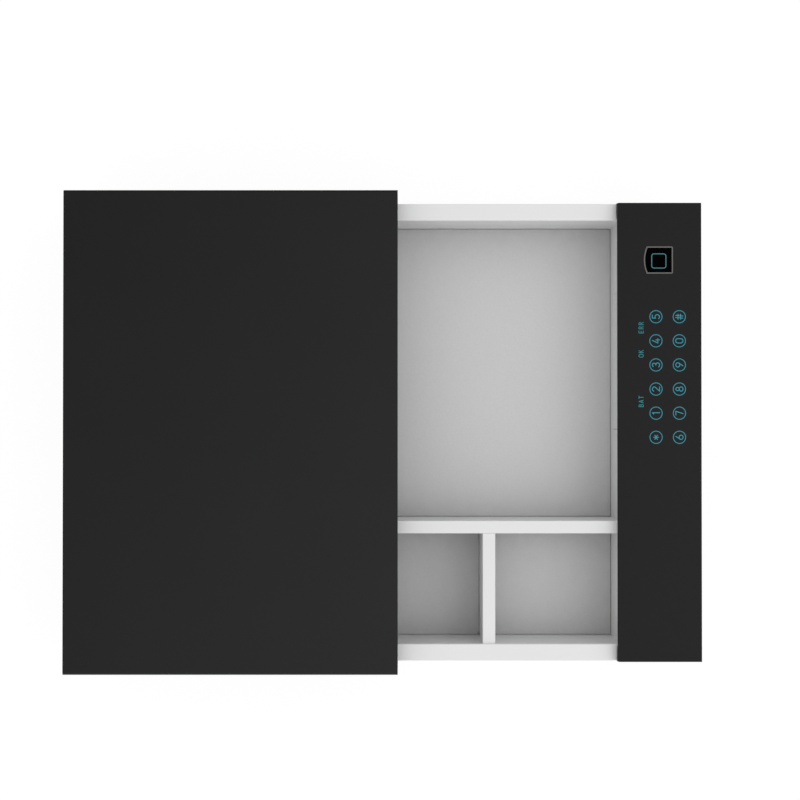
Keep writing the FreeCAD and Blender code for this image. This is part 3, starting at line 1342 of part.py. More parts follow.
def build_key_lock():
    """The emergency key lock: its body, nut and plug, and the shaft from the plug to the lock."""
    centre = ("0", "lock_height")
    flange = rod("y", centre, "keylock_flange", "flange_front", "recess_face")
    barrel = rod("y", centre, "keylock_radius", "recess_face", "barrel_back")
    bore = rod("y", centre, "plug_radius + running_gap", "flange_front - past", "barrel_back + past")
    node("key_lock_body", cut(fuse(flange, barrel), bore))
    nut = hexagon("y", centre, "nut_radius", "recess_back", "recess_back + nut_wall")
    nut_bore = rod("y", centre, "keylock_radius + screw_gap",
                   "recess_back - past", "recess_back + nut_wall + past")
    node("key_lock_nut", cut(nut, nut_bore))
    plug = rod("y", centre, "plug_radius", "plug_front", "plug_back")
    keyway = block(("-keyway_wide / 2", "keyway_wide / 2"), ("plug_front - past", "plug_front + keyway_deep"),
                   ("lock_height - keyway_tall / 2", "lock_height + keyway_tall / 2"))
    node("key_plug", cut(plug, keyway))
    node("lock_shaft", rod("y", centre, "lock_shaft_radius", "plug_back", "case_rear_back + shaft_entry"))


# Lock
def build_bolt_gear():
    """The gear that drives both bolt bars, with hubs that turn in the lock case."""
    body = new_body("bolt_gear")
    half = "bar_wide / 2"
    hub = "bar_wide / 2 + case_gap + case_wall"
    pad(body, "XZ", [("0", "0", "gear_radius - tooth_depth * gear_module")], "-" + half, half)
    gear = ("gear_module", "gear_teeth", "gear_radius")
    add_gear_ring(body, "XZ", "Y_Axis", gear, 1, "-" + half, half)
    pad(body, "XZ", [("0", "0", "hub_radius")], "-(%s)" % hub, hub)
    pocket(body, "XZ", [("0", "0", "lock_shaft_radius + seat_gap")], "-(%s)" % hub, hub)
    place_body(body, "0", "lock_y", "lock_height")


def build_bolt_bar(side):
    """
    A bolt bar: a rack along the gear, and an end tab that carries the bolt.

    The right bar runs above the gear and the left one is the same bar turned half round below it.
    """
    body = new_body("bolt_bar_" + side)
    bar = [
        ("bar_start", "upper_root"), ("bar_start", "upper_back"), ("bolt_heel", "upper_back"),
        ("bolt_heel", "tab_low"), ("tab_inner", "tab_low"), ("tab_inner", "upper_root"),
    ]
    tooth = shifted(rack_tooth_points("(lock_height + gear_radius)", "gear_module", -1),
                    "bar_first + bar_tooth / 2")
    if side == "left":
        bar = half_turned(bar)
        tooth = half_turned(tooth)
    pad(body, "XZ", [bar], "bar_front", "bar_back")
    feature = pad(body, "XZ", [tooth], "bar_front", "bar_back")
    repeat_along(body, feature, "X_Axis", "(bar_teeth - 1) * bar_tooth", "bar_teeth")
    if side == "left":
        body.Tip.Reversed = True
        doc.recompute()
    hole = ("lock_y", "lock_height", "spigot_radius + seat_gap")
    low, high = span(side, "tab_inner - past", "bolt_heel + past")
    pocket(body, "YZ", [hole], low, high)


def half_turned(points):
    """Turns an outline half round about the lock's axis."""
    return [("-(%s)" % across, "2 * lock_height - (%s)" % up) for across, up in points]


def build_lock_bolt(side):
    """A round lock bolt with a chamfered tip, and its spigot in the bar's tab."""
    centre = ("lock_y", "lock_height")
    low, high = span(side, "tab_inner", "bolt_heel")
    spigot = rod("x", centre, "spigot_radius", low, high)
    low, high = span(side, "bolt_heel", "bolt_tip - bolt_chamfer")
    shank = rod("x", centre, "bolt_radius", low, high)
    low, high = span(side, "bolt_tip - bolt_chamfer", "bolt_tip")
    radii = ("bolt_radius", "bolt_radius - bolt_chamfer")
    tip = taper("x", centre, *(radii if side == "right" else radii[::-1]), low, high)
    node("lock_bolt_" + side, fuse(spigot, shank, tip))


def build_lock_case():
    """The two plates that hold the gear's hubs and the bars, and the posts between them."""
    centre = ("0", "lock_height")
    depths = {"lock_case_front": ("case_front_front", "case_front_back"),
              "lock_case_rear": ("case_rear_front", "case_rear_back")}
    for label, (low, high) in depths.items():
        plate = block(("-case_wide / 2", "case_wide / 2"), (low, high),
                      ("tray_floor", "floor_low - case_top_gap"))
        bearing = rod("y", centre, "hub_radius + running_gap", low + " - past", high + " + past")
        node(label, cut(plate, bearing))
    posts = [
        rod("y", (across, "lock_height %s post_rise" % sense), "post_radius",
            "case_front_back", "case_rear_front")
        for across in ("-post_place", "post_place") for sense in ("-", "+")
    ]
    node("lock_case_posts", group(posts))
    node("lock_gearmotor", gearmotor("y", centre, "case_rear_back", "motor_radius", "lock_shaft_radius"))


def build_bolt_guides():
    """The bushes that guide the two bolts inside the drawer's walls."""
    centre = ("lock_y", "lock_height")
    bushes = []
    for side in ("left", "right"):
        low, high = span(side, "tray_inner - guide_length", "tray_inner")
        bore_low, bore_high = span(side, "tray_inner - guide_length - past", "tray_inner + past")
        bushes.append(cut(rod("x", centre, "guide_radius", low, high),
                          rod("x", centre, "bolt_radius + running_gap", bore_low, bore_high)))
    node("bolt_guides", group(bushes))


build_housing_cover()
build_base_plate()
build_rear_panel()
build_mouth_frame()
build_strikes()
for hand in ("left", "right"):
    build_slide_bracket(hand)
    build_slide_outer(hand)
    build_slide_inner(hand)
    build_bolt_bar(hand)
    build_lock_bolt(hand)
build_slide_screws()
build_ball_cages()
build_drive_rack()
build_drive_pinion()
build_drive_motor()
build_drawer_shell()
build_drawer_front_wall()
build_drawer_rear_wall()
build_compartment_floor()
build_dividers()
build_mats()
build_head_shell()
build_head_rear_plate()
build_control_panel()
build_fingerprint_reader()
build_touch_board()
build_main_board()
build_batteries()
build_covers()
build_service_recess()
build_key_lock()
build_bolt_gear()
build_lock_case()
build_bolt_guides()
doc.recompute()

# Every object is checked before anything is written
for thing in doc.Objects:
    if "Invalid" in thing.State or "Error" in thing.State:
        raise RuntimeError("failed object: " + thing.Label)
for label, thing in nodes.items():
    if thing.Shape.isNull() or not thing.Shape.isValid():
        raise RuntimeError("bad shape: " + label)
os.makedirs("parts", exist_ok=True)
for label, thing in nodes.items():
    thing.Shape.exportStep("parts/%s.step" % label)
print(len(nodes), "sub-parts,", sum(len(thing.Shape.Solids) for thing in nodes.values()), "solids")
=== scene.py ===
"""Dresses a motorised drawer safe, drawn with its drawer open: finishes, foam mats and printed legends.

Lengths are in metres in the safe's own frame: +X to the right, the front faces -Y and +Z is up.
"""
import json
import logging
import math
from dataclasses import dataclass, field
from enum import Enum

import bmesh
import bpy
import numpy as np
from mathutils import Matrix, Vector


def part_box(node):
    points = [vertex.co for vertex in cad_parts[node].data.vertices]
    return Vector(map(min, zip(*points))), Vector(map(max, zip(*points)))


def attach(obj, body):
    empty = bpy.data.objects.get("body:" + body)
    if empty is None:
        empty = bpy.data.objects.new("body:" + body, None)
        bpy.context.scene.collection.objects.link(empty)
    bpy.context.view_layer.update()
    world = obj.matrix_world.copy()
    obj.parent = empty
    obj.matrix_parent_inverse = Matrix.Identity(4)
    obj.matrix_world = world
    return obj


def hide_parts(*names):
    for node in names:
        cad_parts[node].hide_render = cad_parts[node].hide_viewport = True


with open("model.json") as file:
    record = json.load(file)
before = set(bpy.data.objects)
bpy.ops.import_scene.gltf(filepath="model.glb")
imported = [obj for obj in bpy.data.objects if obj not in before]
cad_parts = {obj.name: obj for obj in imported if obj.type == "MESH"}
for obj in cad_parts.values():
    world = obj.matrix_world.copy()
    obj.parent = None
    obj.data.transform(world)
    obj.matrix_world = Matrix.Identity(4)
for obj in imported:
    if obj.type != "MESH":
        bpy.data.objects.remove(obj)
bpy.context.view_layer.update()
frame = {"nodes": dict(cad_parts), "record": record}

MM = 0.001
WELD = 1e-7
DRAWER = "drawer"
# Name of the attribute that holds the painted shade along the mats' edges
EDGE_SHADE = "edge_shade"
log = logging.getLogger("drawer_safe")

Colour = tuple[float, float, float]
Triple = tuple[float, float, float]
Point = tuple[float, float]
Pair = tuple[float, float]
Faces = list[tuple[int, ...]]
Socket = bpy.types.NodeSocket

# A line's points, and True where it runs round
Line = tuple[np.ndarray, bool]


class Axis(Enum):
    """The directions along which a finish can run."""

    X = 0
    Y = 1
    Z = 2


# Node graphs
class Graph:
    """The nodes of one material, read from object coordinates in metres."""

    def __init__(self, name: str) -> None:
        """Starts a material with its principled shader.

        Args:
            name: The material's name.
        """
        self.material = bpy.data.materials.new(name)
        self.material.use_nodes = True
        self.nodes = self.material.node_tree.nodes
        self.links = self.material.node_tree.links
        self.shader = self.nodes["Principled BSDF"]
        self.place = self.nodes.new("ShaderNodeTexCoord").outputs["Object"]

    def set(self, **values: float | Colour) -> None:
        """Sets the shader's own sockets.

        Args:
            values: Socket names, with underscores for spaces, and their values.
        """
        for name, value in values.items():
            socket = self.shader.inputs[name.replace("_", " ")]
            socket.default_value = (*value, 1.0) if isinstance(value, tuple) else value

    def link(self, output: Socket, name: str) -> None:
        """Links an output to one of the shader's sockets, by its name."""
        self.links.new(output, self.shader.inputs[name])

    def stretched(self, stretch: Triple) -> Socket:
        """Scales the object coordinates along each axis.

        Args:
            stretch: The scale of each axis.

        Returns:
            The scaled coordinates.
        """
        mapping = self.nodes.new("ShaderNodeMapping")
        mapping.inputs["Scale"].default_value = stretch
        self.links.new(self.place, mapping.inputs["Vector"])
        return mapping.outputs["Vector"]

    def noise(self, size: float, detail: float = 3.0, stretch: Triple | None = None,
              roughness: float = 0.55) -> Socket:
        """Adds fractal noise.

        Args:
            size: The size of its largest grains.
            detail: How many octaves it has.
            stretch: The scale of each axis, or None for round grains.
            roughness: How strong the finer octaves are.

        Returns:
            The noise, from 0 to 1.
        """
        node = self.nodes.new("ShaderNodeTexNoise")
        node.inputs["Scale"].default_value = 1.0 / size
        node.inputs["Detail"].default_value = detail
        node.inputs["Roughness"].default_value = roughness
        self.links.new(self.stretched(stretch) if stretch else self.place, node.inputs["Vector"])
        return node.outputs["Fac"]

    def cells(self, size: float) -> Socket:
        """Adds round cells.

        Args:
            size: The distance between neighbouring cells.

        Returns:
            The distance to the nearest cell's middle, in cells.
        """
        node = self.nodes.new("ShaderNodeTexVoronoi")
        node.inputs["Scale"].default_value = 1.0 / size
        self.links.new(self.place, node.inputs["Vector"])
        return node.outputs["Distance"]

    def span(self, value: Socket, low: float, high: float,
             start: float = 0.3, end: float = 0.7) -> Socket:
        """Maps a value from one range to another.

        Args:
            value: The socket to read.
            low: The result at the start.
            high: The result at the end.
            start: Where the incoming range starts.
            end: Where the incoming range ends.

        Returns:
            The mapped value.
        """
        node = self.nodes.new("ShaderNodeMapRange")
        node.inputs["From Min"].default_value = start
        node.inputs["From Max"].default_value = end
        node.inputs["To Min"].default_value = low
        node.inputs["To Max"].default_value = high
        self.links.new(value, node.inputs["Value"])
        return node.outputs["Result"]

    def tint(self, factor: Socket, first: Colour, second: Colour) -> Socket:
        """Mixes two colours.

        Args:
            factor: Where it is 0 the first colour shows, and where it is 1 the second.
            first: The first colour.
            second: The second colour.

        Returns:
            The mixed colour.
        """
        node = self.nodes.new("ShaderNodeMix")
        node.data_type = "RGBA"
        colours = [socket for socket in node.inputs if socket.type == "RGBA"]
        colours[0].default_value = (*first, 1.0)
        colours[1].default_value = (*second, 1.0)
        self.links.new(factor, node.inputs["Factor"])
        return next(socket for socket in node.outputs if socket.type == "RGBA")

    def over(self, base: Socket, colour: Colour, factor: Socket) -> Socket:
        """Lays a colour over another by a factor.

        Args:
            base: The colour below.
            colour: The colour above.
            factor: Where it is 0 the lower one shows, and where it is 1 the upper.

        Returns:
            The mixed colour.
        """
        mixed = self.tint(factor, colour, colour)
        self.links.new(base, next(socket for socket in mixed.node.inputs if socket.type == "RGBA"))
        return mixed

    def attribute(self, name: str) -> Socket:
        """Reads a piece's own attribute.

        Args:
            name: The attribute's name.

        Returns:
            Its value.
        """
        node = self.nodes.new("ShaderNodeAttribute")
        node.attribute_name = name
        return node.outputs["Fac"]

    def product(self, first: Socket, second: Socket) -> Socket:
        """Multiplies two values.

        Args:
            first: One value.
            second: The other value.

        Returns:
            Their product.
        """
        node = self.nodes.new("ShaderNodeMath")
        node.operation = "MULTIPLY"
        self.links.new(first, node.inputs[0])
        self.links.new(second, node.inputs[1])
        return node.outputs["Value"]

    def bump(self, *heights: tuple[Socket, float]) -> None:
        """Adds relief to the shader's normal, one layer upon the other.

        Args:
            heights: Pairs of a height from 0 to 1 and its depth in metres.
        """
        normal = None
        for height, depth in heights:
            node = self.nodes.new("ShaderNodeBump")
            node.inputs["Distance"].default_value = depth
            self.links.new(height, node.inputs["Height"])
            if normal is not None:
                self.links.new(normal, node.inputs["Normal"])
            normal = node.outputs["Normal"]
        self.link(normal, "Normal")


def shade(colour: Colour, factor: float) -> Colour:
    """Makes a colour darker or lighter by a factor."""
    return tuple(min(1.0, channel * factor) for channel in colour)


# Finishes
@dataclass(frozen=True)
class Finish:
    """A finish's name and plain look; each kind adds its own grain."""

    name: str
    colour: Colour
    roughness: float
    specular: float = 0.5

    def make(self) -> bpy.types.Material:
        """Builds the material.

        Returns:
            The material.
        """
        graph = Graph(self.name)
        graph.set(Base_Color=self.colour, Roughness=self.roughness, Specular_IOR_Level=self.specular)
        self.grain(graph)
        return graph.material

    def grain(self, graph: Graph) -> None:
        """Adds what is special to this kind of finish."""
        raise NotImplementedError

    def tone(self, graph: Graph, factor: Socket, tones: Pair) -> Socket:
        """Mixes two shares of the colour, the first where the factor is 0 and the second where it is 1."""
        return graph.tint(factor, shade(self.colour, tones[0]), shade(self.colour, tones[1]))


@dataclass(frozen=True)
class PowderCoat(Finish):
    """Baked powder paint: fine orange peel, a finer grit and a barely uneven tone."""

    peel: float = 1.1 * MM
    grit: float = 0.22 * MM
    depth: float = 0.012 * MM
    grit_share: float = 0.25
    drift: float = 0.06
    drift_size: float = 90 * MM
    patch_size: float = 3 * MM
    dulling: float = 0.05

    def grain(self, graph: Graph) -> None:
        """Adds the peel, the grit and the tone.

        Args:
            graph: The material's nodes.
        """
        cloud = graph.span(graph.noise(self.drift_size, detail=2.0), 0.0, 1.0)
        graph.link(self.tone(graph, cloud, (1.0 - self.drift, 1.0 + self.drift)), "Base Color")
        peel = graph.noise(self.peel, detail=2.0)
        grit = graph.noise(self.grit, detail=1.0)
        patches = graph.noise(self.patch_size)
        rough = graph.span(patches, self.roughness - self.dulling, self.roughness + self.dulling)
        graph.link(rough, "Roughness")
        graph.bump((peel, self.depth), (grit, self.depth * self.grit_share))


@dataclass(frozen=True)
class SheetMetal(Finish):
    """Rolled and plated sheet: long rolling lines, cloudy plating and faint handling marks."""

    along: Axis = Axis.Y
    line: float = 0.35 * MM
    line_squeeze: float = 0.04
    line_depth: float = 0.004 * MM
    cloud: float = 14 * MM
    tones: Pair = (0.86, 1.1)
    polish: float = 0.08
    dulling: float = 0.1

    def grain(self, graph: Graph) -> None:
        """Adds the rolling lines and the clouds.

        Args:
            graph: The material's nodes.
        """
        stretch = tuple(self.line_squeeze if axis is self.along else 1.0 for axis in Axis)
        lines = graph.noise(self.line, detail=4.0, stretch=stretch)
        clouds = graph.noise(self.cloud, detail=4.0)
        graph.set(Metallic=1.0)
        graph.link(self.tone(graph, clouds, self.tones), "Base Color")
        rough = graph.span(lines, self.roughness - self.polish, self.roughness + self.dulling)
        graph.link(rough, "Roughness")
        graph.bump((lines, self.line_depth))


@dataclass(frozen=True)
class TurnedMetal(Finish):
    """Turned or ground metal: fine rings about the piece's own axis."""

    about: Axis = Axis.X
    ring: float = 0.18 * MM
    ring_squeeze: float = 0.01
    ring_depth: float = 0.003 * MM
    stain: float = 5 * MM
    tones: Pair = (0.9, 1.06)
    polish: float = 0.06
    dulling: float = 0.08

    def grain(self, graph: Graph) -> None:
        """Adds the rings, which change along the axis only.

        Args:
            graph: The material's nodes.
        """
        stretch = tuple(1.0 if axis is self.about else self.ring_squeeze for axis in Axis)
        rings = graph.noise(self.ring, detail=3.0, stretch=stretch)
        stains = graph.noise(self.stain, detail=3.0)
        graph.set(Metallic=1.0)
        graph.link(self.tone(graph, stains, self.tones), "Base Color")
        rough = graph.span(rings, self.roughness - self.polish, self.roughness + self.dulling)
        graph.link(rough, "Roughness")
        graph.bump((rings, self.ring_depth))


@dataclass(frozen=True)
class Moulding(Finish):
    """Moulded plastic: a fine spark-eroded texture, duller in the cells' middles than at their edges."""

    texture: float = 0.5 * MM
    depth: float = 0.01 * MM
    patch: float = 20 * MM
    tones: Pair = (0.93, 1.07)
    dulling: float = 0.06
    polish: float = 0.04
    cell_edge: float = 0.9

    def grain(self, graph: Graph) -> None:
        """Adds the texture.

        Args:
            graph: The material's nodes.
        """
        cells = graph.cells(self.texture)
        patches = graph.noise(self.patch, detail=2.0)
        graph.link(self.tone(graph, patches, self.tones), "Base Color")
        rough = graph.span(cells, self.roughness + self.dulling, self.roughness - self.polish,
                           0.0, self.cell_edge)
        graph.link(rough, "Roughness")
        graph.bump((cells, self.depth))


@dataclass(frozen=True)
class Foam(Finish):
    """Fine closed-cell foam sheet with a soft nap, darkened by painted shade along its edges."""

    pore: float = 0.6 * MM
    pore_depth: float = 0.05 * MM
    nap: float = 1.6 * MM
    nap_depth: float = 0.03 * MM
    tones: Pair = (0.95, 1.05)
    drift: float = 60 * MM
    dulling: float = 0.05
    # Painted shade: the share of the colour laid along the edges, and how its strength varies in patches
    edge_shade: float = 0.6
    edge_shade_patch: float = 9 * MM
    edge_shade_patches: Pair = (0.85, 1.15)
    sheen: float = 0.15
    sheen_roughness: float = 0.6

    def grain(self, graph: Graph) -> None:
        """Adds pores, the nap's mottle, a soft sheen and painted shade along the edges.

        Args:
            graph: The material's nodes.
        """
        pores = graph.cells(self.pore)
        nap = graph.noise(self.nap, detail=5.0, roughness=0.7)
        drift = graph.noise(self.drift, detail=2.0)
        graph.set(Sheen_Weight=self.sheen, Sheen_Roughness=self.sheen_roughness)
        mottle = self.tone(graph, graph.span(nap, 0.0, 1.0, 0.2, 0.8), self.tones)
        # Painted shade: a darker colour laid over the foam towards its edges, where the walls would shade it
        patches = graph.span(graph.noise(self.edge_shade_patch, detail=4.0), *self.edge_shade_patches)
        painted_shade = graph.product(graph.attribute(EDGE_SHADE), patches)
        graph.link(graph.over(mottle, shade(self.colour, self.edge_shade), painted_shade), "Base Color")
        rough = graph.span(drift, self.roughness - self.dulling, self.roughness + self.dulling)
        graph.link(rough, "Roughness")
        graph.bump((pores, self.pore_depth), (nap, self.nap_depth))


@dataclass(frozen=True)
class SolderMask(Finish):
    """A circuit board: lacquer over fine copper tracks."""

    track: float = 1.3 * MM
    track_squeeze: float = 0.12
    track_depth: float = 0.03 * MM
    crossing_depth: float = 0.02 * MM
    copper: float = 1.7
    dulling: float = 0.15

    def grain(self, graph: Graph) -> None:
        """Adds tracks as narrow bands of stretched noise, some along X and some along Z.

        Args:
            graph: The material's nodes.
        """
        across = graph.noise(self.track, detail=0.0, stretch=(1.0, 1.0, self.track_squeeze))
        upright = graph.noise(self.track, detail=0.0, stretch=(self.track_squeeze, 1.0, 1.0))
        tracks = graph.span(across, 0.0, 1.0, 0.5, 0.53)
        crossing = graph.span(upright, 0.0, 0.6, 0.55, 0.58)
        graph.link(self.tone(graph, tracks, (1.0, self.copper)), "Base Color")
        rough = graph.span(crossing, self.roughness, self.roughness + self.dulling, 0.0, 1.0)
        graph.link(rough, "Roughness")
        graph.bump((tracks, self.track_depth), (crossing, self.crossing_depth))


@dataclass(frozen=True)
class Polish(Finish):
    """A gloss surface with the last traces of its polishing."""

    metallic: float = 0.0
    haze: float = 2.5 * MM
    haze_depth: float = 0.001 * MM
    shares: Pair = (0.7, 1.4)

    def grain(self, graph: Graph) -> None:
        """Adds the polishing's haze.

        Args:
            graph: The material's nodes.
        """
        graph.set(Metallic=self.metallic)
        haze = graph.noise(self.haze, detail=3.0)
        rough = graph.span(haze, self.roughness * self.shares[0], self.roughness * self.shares[1])
        graph.link(rough, "Roughness")
        graph.bump((haze, self.haze_depth))


@dataclass(frozen=True)
class Print(Finish):
    """Screen-printed ink: an even film with a fine mesh mark."""

    film: float = 0.3 * MM
    film_depth: float = 0.002 * MM
    tones: Pair = (0.93, 1.07)

    def grain(self, graph: Graph) -> None:
        """Adds the film's unevenness.

        Args:
            graph: The material's nodes.
        """
        film = graph.noise(self.film, detail=2.0)
        graph.link(self.tone(graph, film, self.tones), "Base Color")
        graph.bump((film, self.film_depth))


FINISHES: dict[str, Finish] = {
    "black_steel": PowderCoat("black_powder_coat", (0.0070, 0.0070, 0.0072), 0.34, 0.20),
    "panel_black": PowderCoat("satin_black_panel", (0.0094, 0.0094, 0.0096), 0.40, 0.10,
                              peel=2.2 * MM, depth=0.004 * MM, drift=0.02),
    "white_steel": PowderCoat("white_powder_coat", (0.70, 0.70, 0.702), 0.45, 0.4,
                              peel=1.6 * MM, depth=0.008 * MM, drift=0.01),
    "grey_mat": Foam("grey_foam", (0.60, 0.60, 0.60), 0.85, 0.2),
    "zinc_steel": SheetMetal("zinc_plated_sheet", (0.62, 0.63, 0.65), 0.36),
    "ball_steel": Polish("ball_steel", (0.75, 0.76, 0.78), 0.08, metallic=1.0),
    "screw_steel": TurnedMetal("dark_zinc", (0.30, 0.30, 0.31), 0.35, about=Axis.Y),
    "bolt_steel": TurnedMetal("ground_steel", (0.66, 0.66, 0.68), 0.24, about=Axis.X),
    "gear_brass": TurnedMetal("machined_brass", (0.70, 0.52, 0.24), 0.28, about=Axis.Y),
    "gear_nylon": Moulding("natural_nylon", (0.80, 0.79, 0.73), 0.42, texture=0.9 * MM),
    "motor_steel": SheetMetal("drawn_can", (0.55, 0.56, 0.58), 0.3, along=Axis.Y),
    "bezel_metal": SheetMetal("satin_bezel", (0.120, 0.115, 0.110), 0.38, along=Axis.X),
    "sensor_black": Polish("sensor_window", (0.0004, 0.0004, 0.0005), 0.10, 0.008),
    "board_green": SolderMask("solder_mask", (0.02, 0.12, 0.055), 0.28),
    "black_plastic": Moulding("black_moulding", (0.03, 0.03, 0.032), 0.48),
    "cell_wrap": Polish("cell_wrap", (0.055, 0.06, 0.075), 0.26, haze=18 * MM),
    "contact_nickel": Polish("nickel", (0.68, 0.67, 0.64), 0.2, metallic=1.0),
}
INKS = {
    "key_ink": Print("key_ink", (0.026, 0.24, 0.31), 0.45, 0.3),
    "label_ink": Print("label_ink", (0.020, 0.21, 0.235), 0.45, 0.3),
    "reader_ink": Print("reader_ink", (0.045, 0.19, 0.21), 0.45, 0.3),
}


class Paints:
    """Makes each finish once and hands it to the pieces."""

    def __init__(self) -> None:
        """Starts with no material made."""
        self.made: dict[str, bpy.types.Material] = {}

    def get(self, name: str) -> bpy.types.Material:
        """Returns a finish's material.

        Args:
            name: The record's slot, or an ink.

        Returns:
            The material.
        """
        if name not in self.made:
            self.made[name] = (INKS.get(name) or FINISHES[name]).make()
        return self.made[name]


PAINTS = Paints()
SLOTS = {part["node"]: part["material_slot"] for part in frame["record"]["subparts"]}


def finish_node(node: str) -> None:
    """Gives a carried-over node its finish.

    Args:
        node: The node's name.
    """
    data = frame["nodes"][node].data
    data.materials.clear()
    data.materials.append(PAINTS.get(SLOTS[node]))


# Meshes
def new_piece(name: str, points: np.ndarray, faces: Faces, body: str, paint: str,
              smooth_angle: float) -> bpy.types.Object:
    """Makes a piece from points and faces, closes its seams and turns its faces outwards.

    Args:
        name: The piece's name.
        points: Its points, one row each.
        faces: The points of each face.
        body: The body that it rides on.
        paint: Its finish or ink.
        smooth_angle: Edges under this angle, in degrees, are shaded smooth.

    Returns:
        The piece.
    """
    mesh = bpy.data.meshes.new(name)
    mesh.from_pydata(points.reshape(-1, 3).tolist(), [], faces)
    work = bmesh.new()
    work.from_mesh(mesh)
    bmesh.ops.remove_doubles(work, verts=work.verts, dist=WELD)
    bmesh.ops.recalc_face_normals(work, faces=work.faces)
    work.to_mesh(mesh)
    work.free()
    mesh.shade_smooth()
    mesh.set_sharp_from_angle(angle=math.radians(smooth_angle))
    mesh.materials.append(PAINTS.get(paint))
    piece = bpy.data.objects.new(name, mesh)
    bpy.context.scene.collection.objects.link(piece)
    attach(piece, body)
    return piece


def grid_faces(rows: int, columns: int) -> Faces:
    """Lists the four-sided faces of a grid whose columns run round and whose rows don't.

    Args:
        rows: How many rows the grid has.
        columns: How many points each row has.

    Returns:
        The faces.
    """
    row, column = np.meshgrid(np.arange(rows - 1), np.arange(columns), indexing="ij")
    following = (column + 1) % columns
    corners = np.stack([row * columns + column, row * columns + following,
                        (row + 1) * columns + following, (row + 1) * columns + column], axis=-1)
    return [tuple(face) for face in corners.reshape(-1, 4).tolist()]


class Ribbon:
    """A raised ribbon of ink along a flat path, with round ends and soft shoulders.

    Its section is a flattened arch: sideways the cosine of an angle times half the width, and upwards the
    sine of it, to the shoulder's power, times the thickness. It goes on below the face by half the thickness.
    Beyond each end of an open path the width shrinks as the cosine of an angle while the path goes on by its
    sine, which makes a round end.
    """

    SECTION = 8
    END = 5
    SHOULDER = 0.6

    def __init__(self, path: np.ndarray, width: float, closed: bool = False) -> None:
        """Works out the middle line, its sideways direction and its width.

        Args:
            path: Points of the middle line in the plane, one row each.
            width: The ribbon's width.
            closed: True where the path runs round.
        """
        self.closed = closed
        half = width / 2
        if closed:
            ahead = np.roll(path, -1, axis=0) - np.roll(path, 1, axis=0)
            self.middle, self.halves = path, np.full(len(path), half)
        else:
            ahead = np.gradient(path, axis=0)
            turn = np.linspace(0, math.pi / 2, self.END + 1)[1:]
            unit = ahead / np.linalg.norm(ahead, axis=1, keepdims=True)
            before = path[0] - np.sin(turn[::-1])[:, None] * half * unit[0]
            after = path[-1] + np.sin(turn)[:, None] * half * unit[-1]
            self.middle = np.vstack([before, path, after])
            self.halves = np.concatenate([np.cos(turn[::-1]) * half, np.full(len(path), half),
                                          np.cos(turn) * half])
            ahead = np.vstack([np.repeat(ahead[:1], self.END, axis=0), ahead,
                               np.repeat(ahead[-1:], self.END, axis=0)])
        unit = ahead / np.linalg.norm(ahead, axis=1, keepdims=True)
        self.sideways = np.stack([-unit[:, 1], unit[:, 0]], axis=1)

    def surface(self, thickness: float) -> tuple[np.ndarray, Faces]:
        """Works out the ribbon's points and faces, with the face that it lies on at height 0.

        Args:
            thickness: The height of its middle.

        Returns:
            The points and the faces.
        """
        turn = np.linspace(0, math.pi, self.SECTION)
        across = np.concatenate([np.cos(turn), [-1.0, 1.0]])
        arch = np.sin(turn) ** self.SHOULDER * thickness
        height = np.concatenate([arch, [-thickness / 2, -thickness / 2]])
        reach = self.halves[:, None, None] * self.sideways[:, None, :]
        flat = self.middle[:, None, :] + across[None, :, None] * reach
        up = np.broadcast_to(height[None, :, None], (*flat.shape[:2], 1))
        points = np.concatenate([flat, up], axis=2)
        if self.closed:
            points = np.concatenate([points, points[:1]], axis=0)
        return points.reshape(-1, 3), grid_faces(len(points), len(across))


def arc(middle: Point, radii: Point, start: float, end: float, steps: int = 14) -> np.ndarray:
    """Lists the points of an elliptical arc: the middle plus each radius times the angle's cosine or sine.

    Args:
        middle: Its middle.
        radii: Its radii sideways and upwards.
        start: Its first angle, in degrees.
        end: Its last angle, in degrees.
        steps: How many steps it has.

    Returns:
        The points.
    """
    turn = np.radians(np.linspace(start, end, steps + 1))
    return np.stack([middle[0] + radii[0] * np.cos(turn), middle[1] + radii[1] * np.sin(turn)], axis=1)


def rounded_loop(half_width: float, half_height: float, radius: float, steps: int = 6) -> np.ndarray:
    """Lists the points of a rectangle with round corners about the origin.

    Each corner is a quarter circle about a point that lies the radius in from both of its sides.

    Args:
        half_width: Half its width.
        half_height: Half its height.
        radius: The corners' radius.
        steps: How many steps each corner has.

    Returns:
        The points.
    """
    corners = [((half_width - radius) * across, (half_height - radius) * up, start)
               for across, up, start in ((1, 1, 0), (-1, 1, 90), (-1, -1, 180), (1, -1, 270))]
    return np.vstack([arc((x, y), (radius, radius), start, start + 90, steps) for x, y, start in corners])


def framed_loop(half_width: float, half_height: float, radius: float, corner_steps: int,
                side_steps: int) -> np.ndarray:
    """Lists the points of a rectangle with round corners whose straight sides are divided too.

    Args:
        half_width: Half its width.
        half_height: Half its height.
        radius: The corners' radius.
        corner_steps: How many steps each corner has.
        side_steps: How many steps each side has.

    Returns:
        The points, as many for every size of the same steps.
    """
    corners = np.split(rounded_loop(half_width, half_height, radius, corner_steps), 4)
    sides = [np.linspace(this[-1], following[0], side_steps + 1)[1:-1]
             for this, following in zip(corners, corners[1:] + corners[:1])]
    return np.vstack([part for pair in zip(corners, sides) for part in pair])


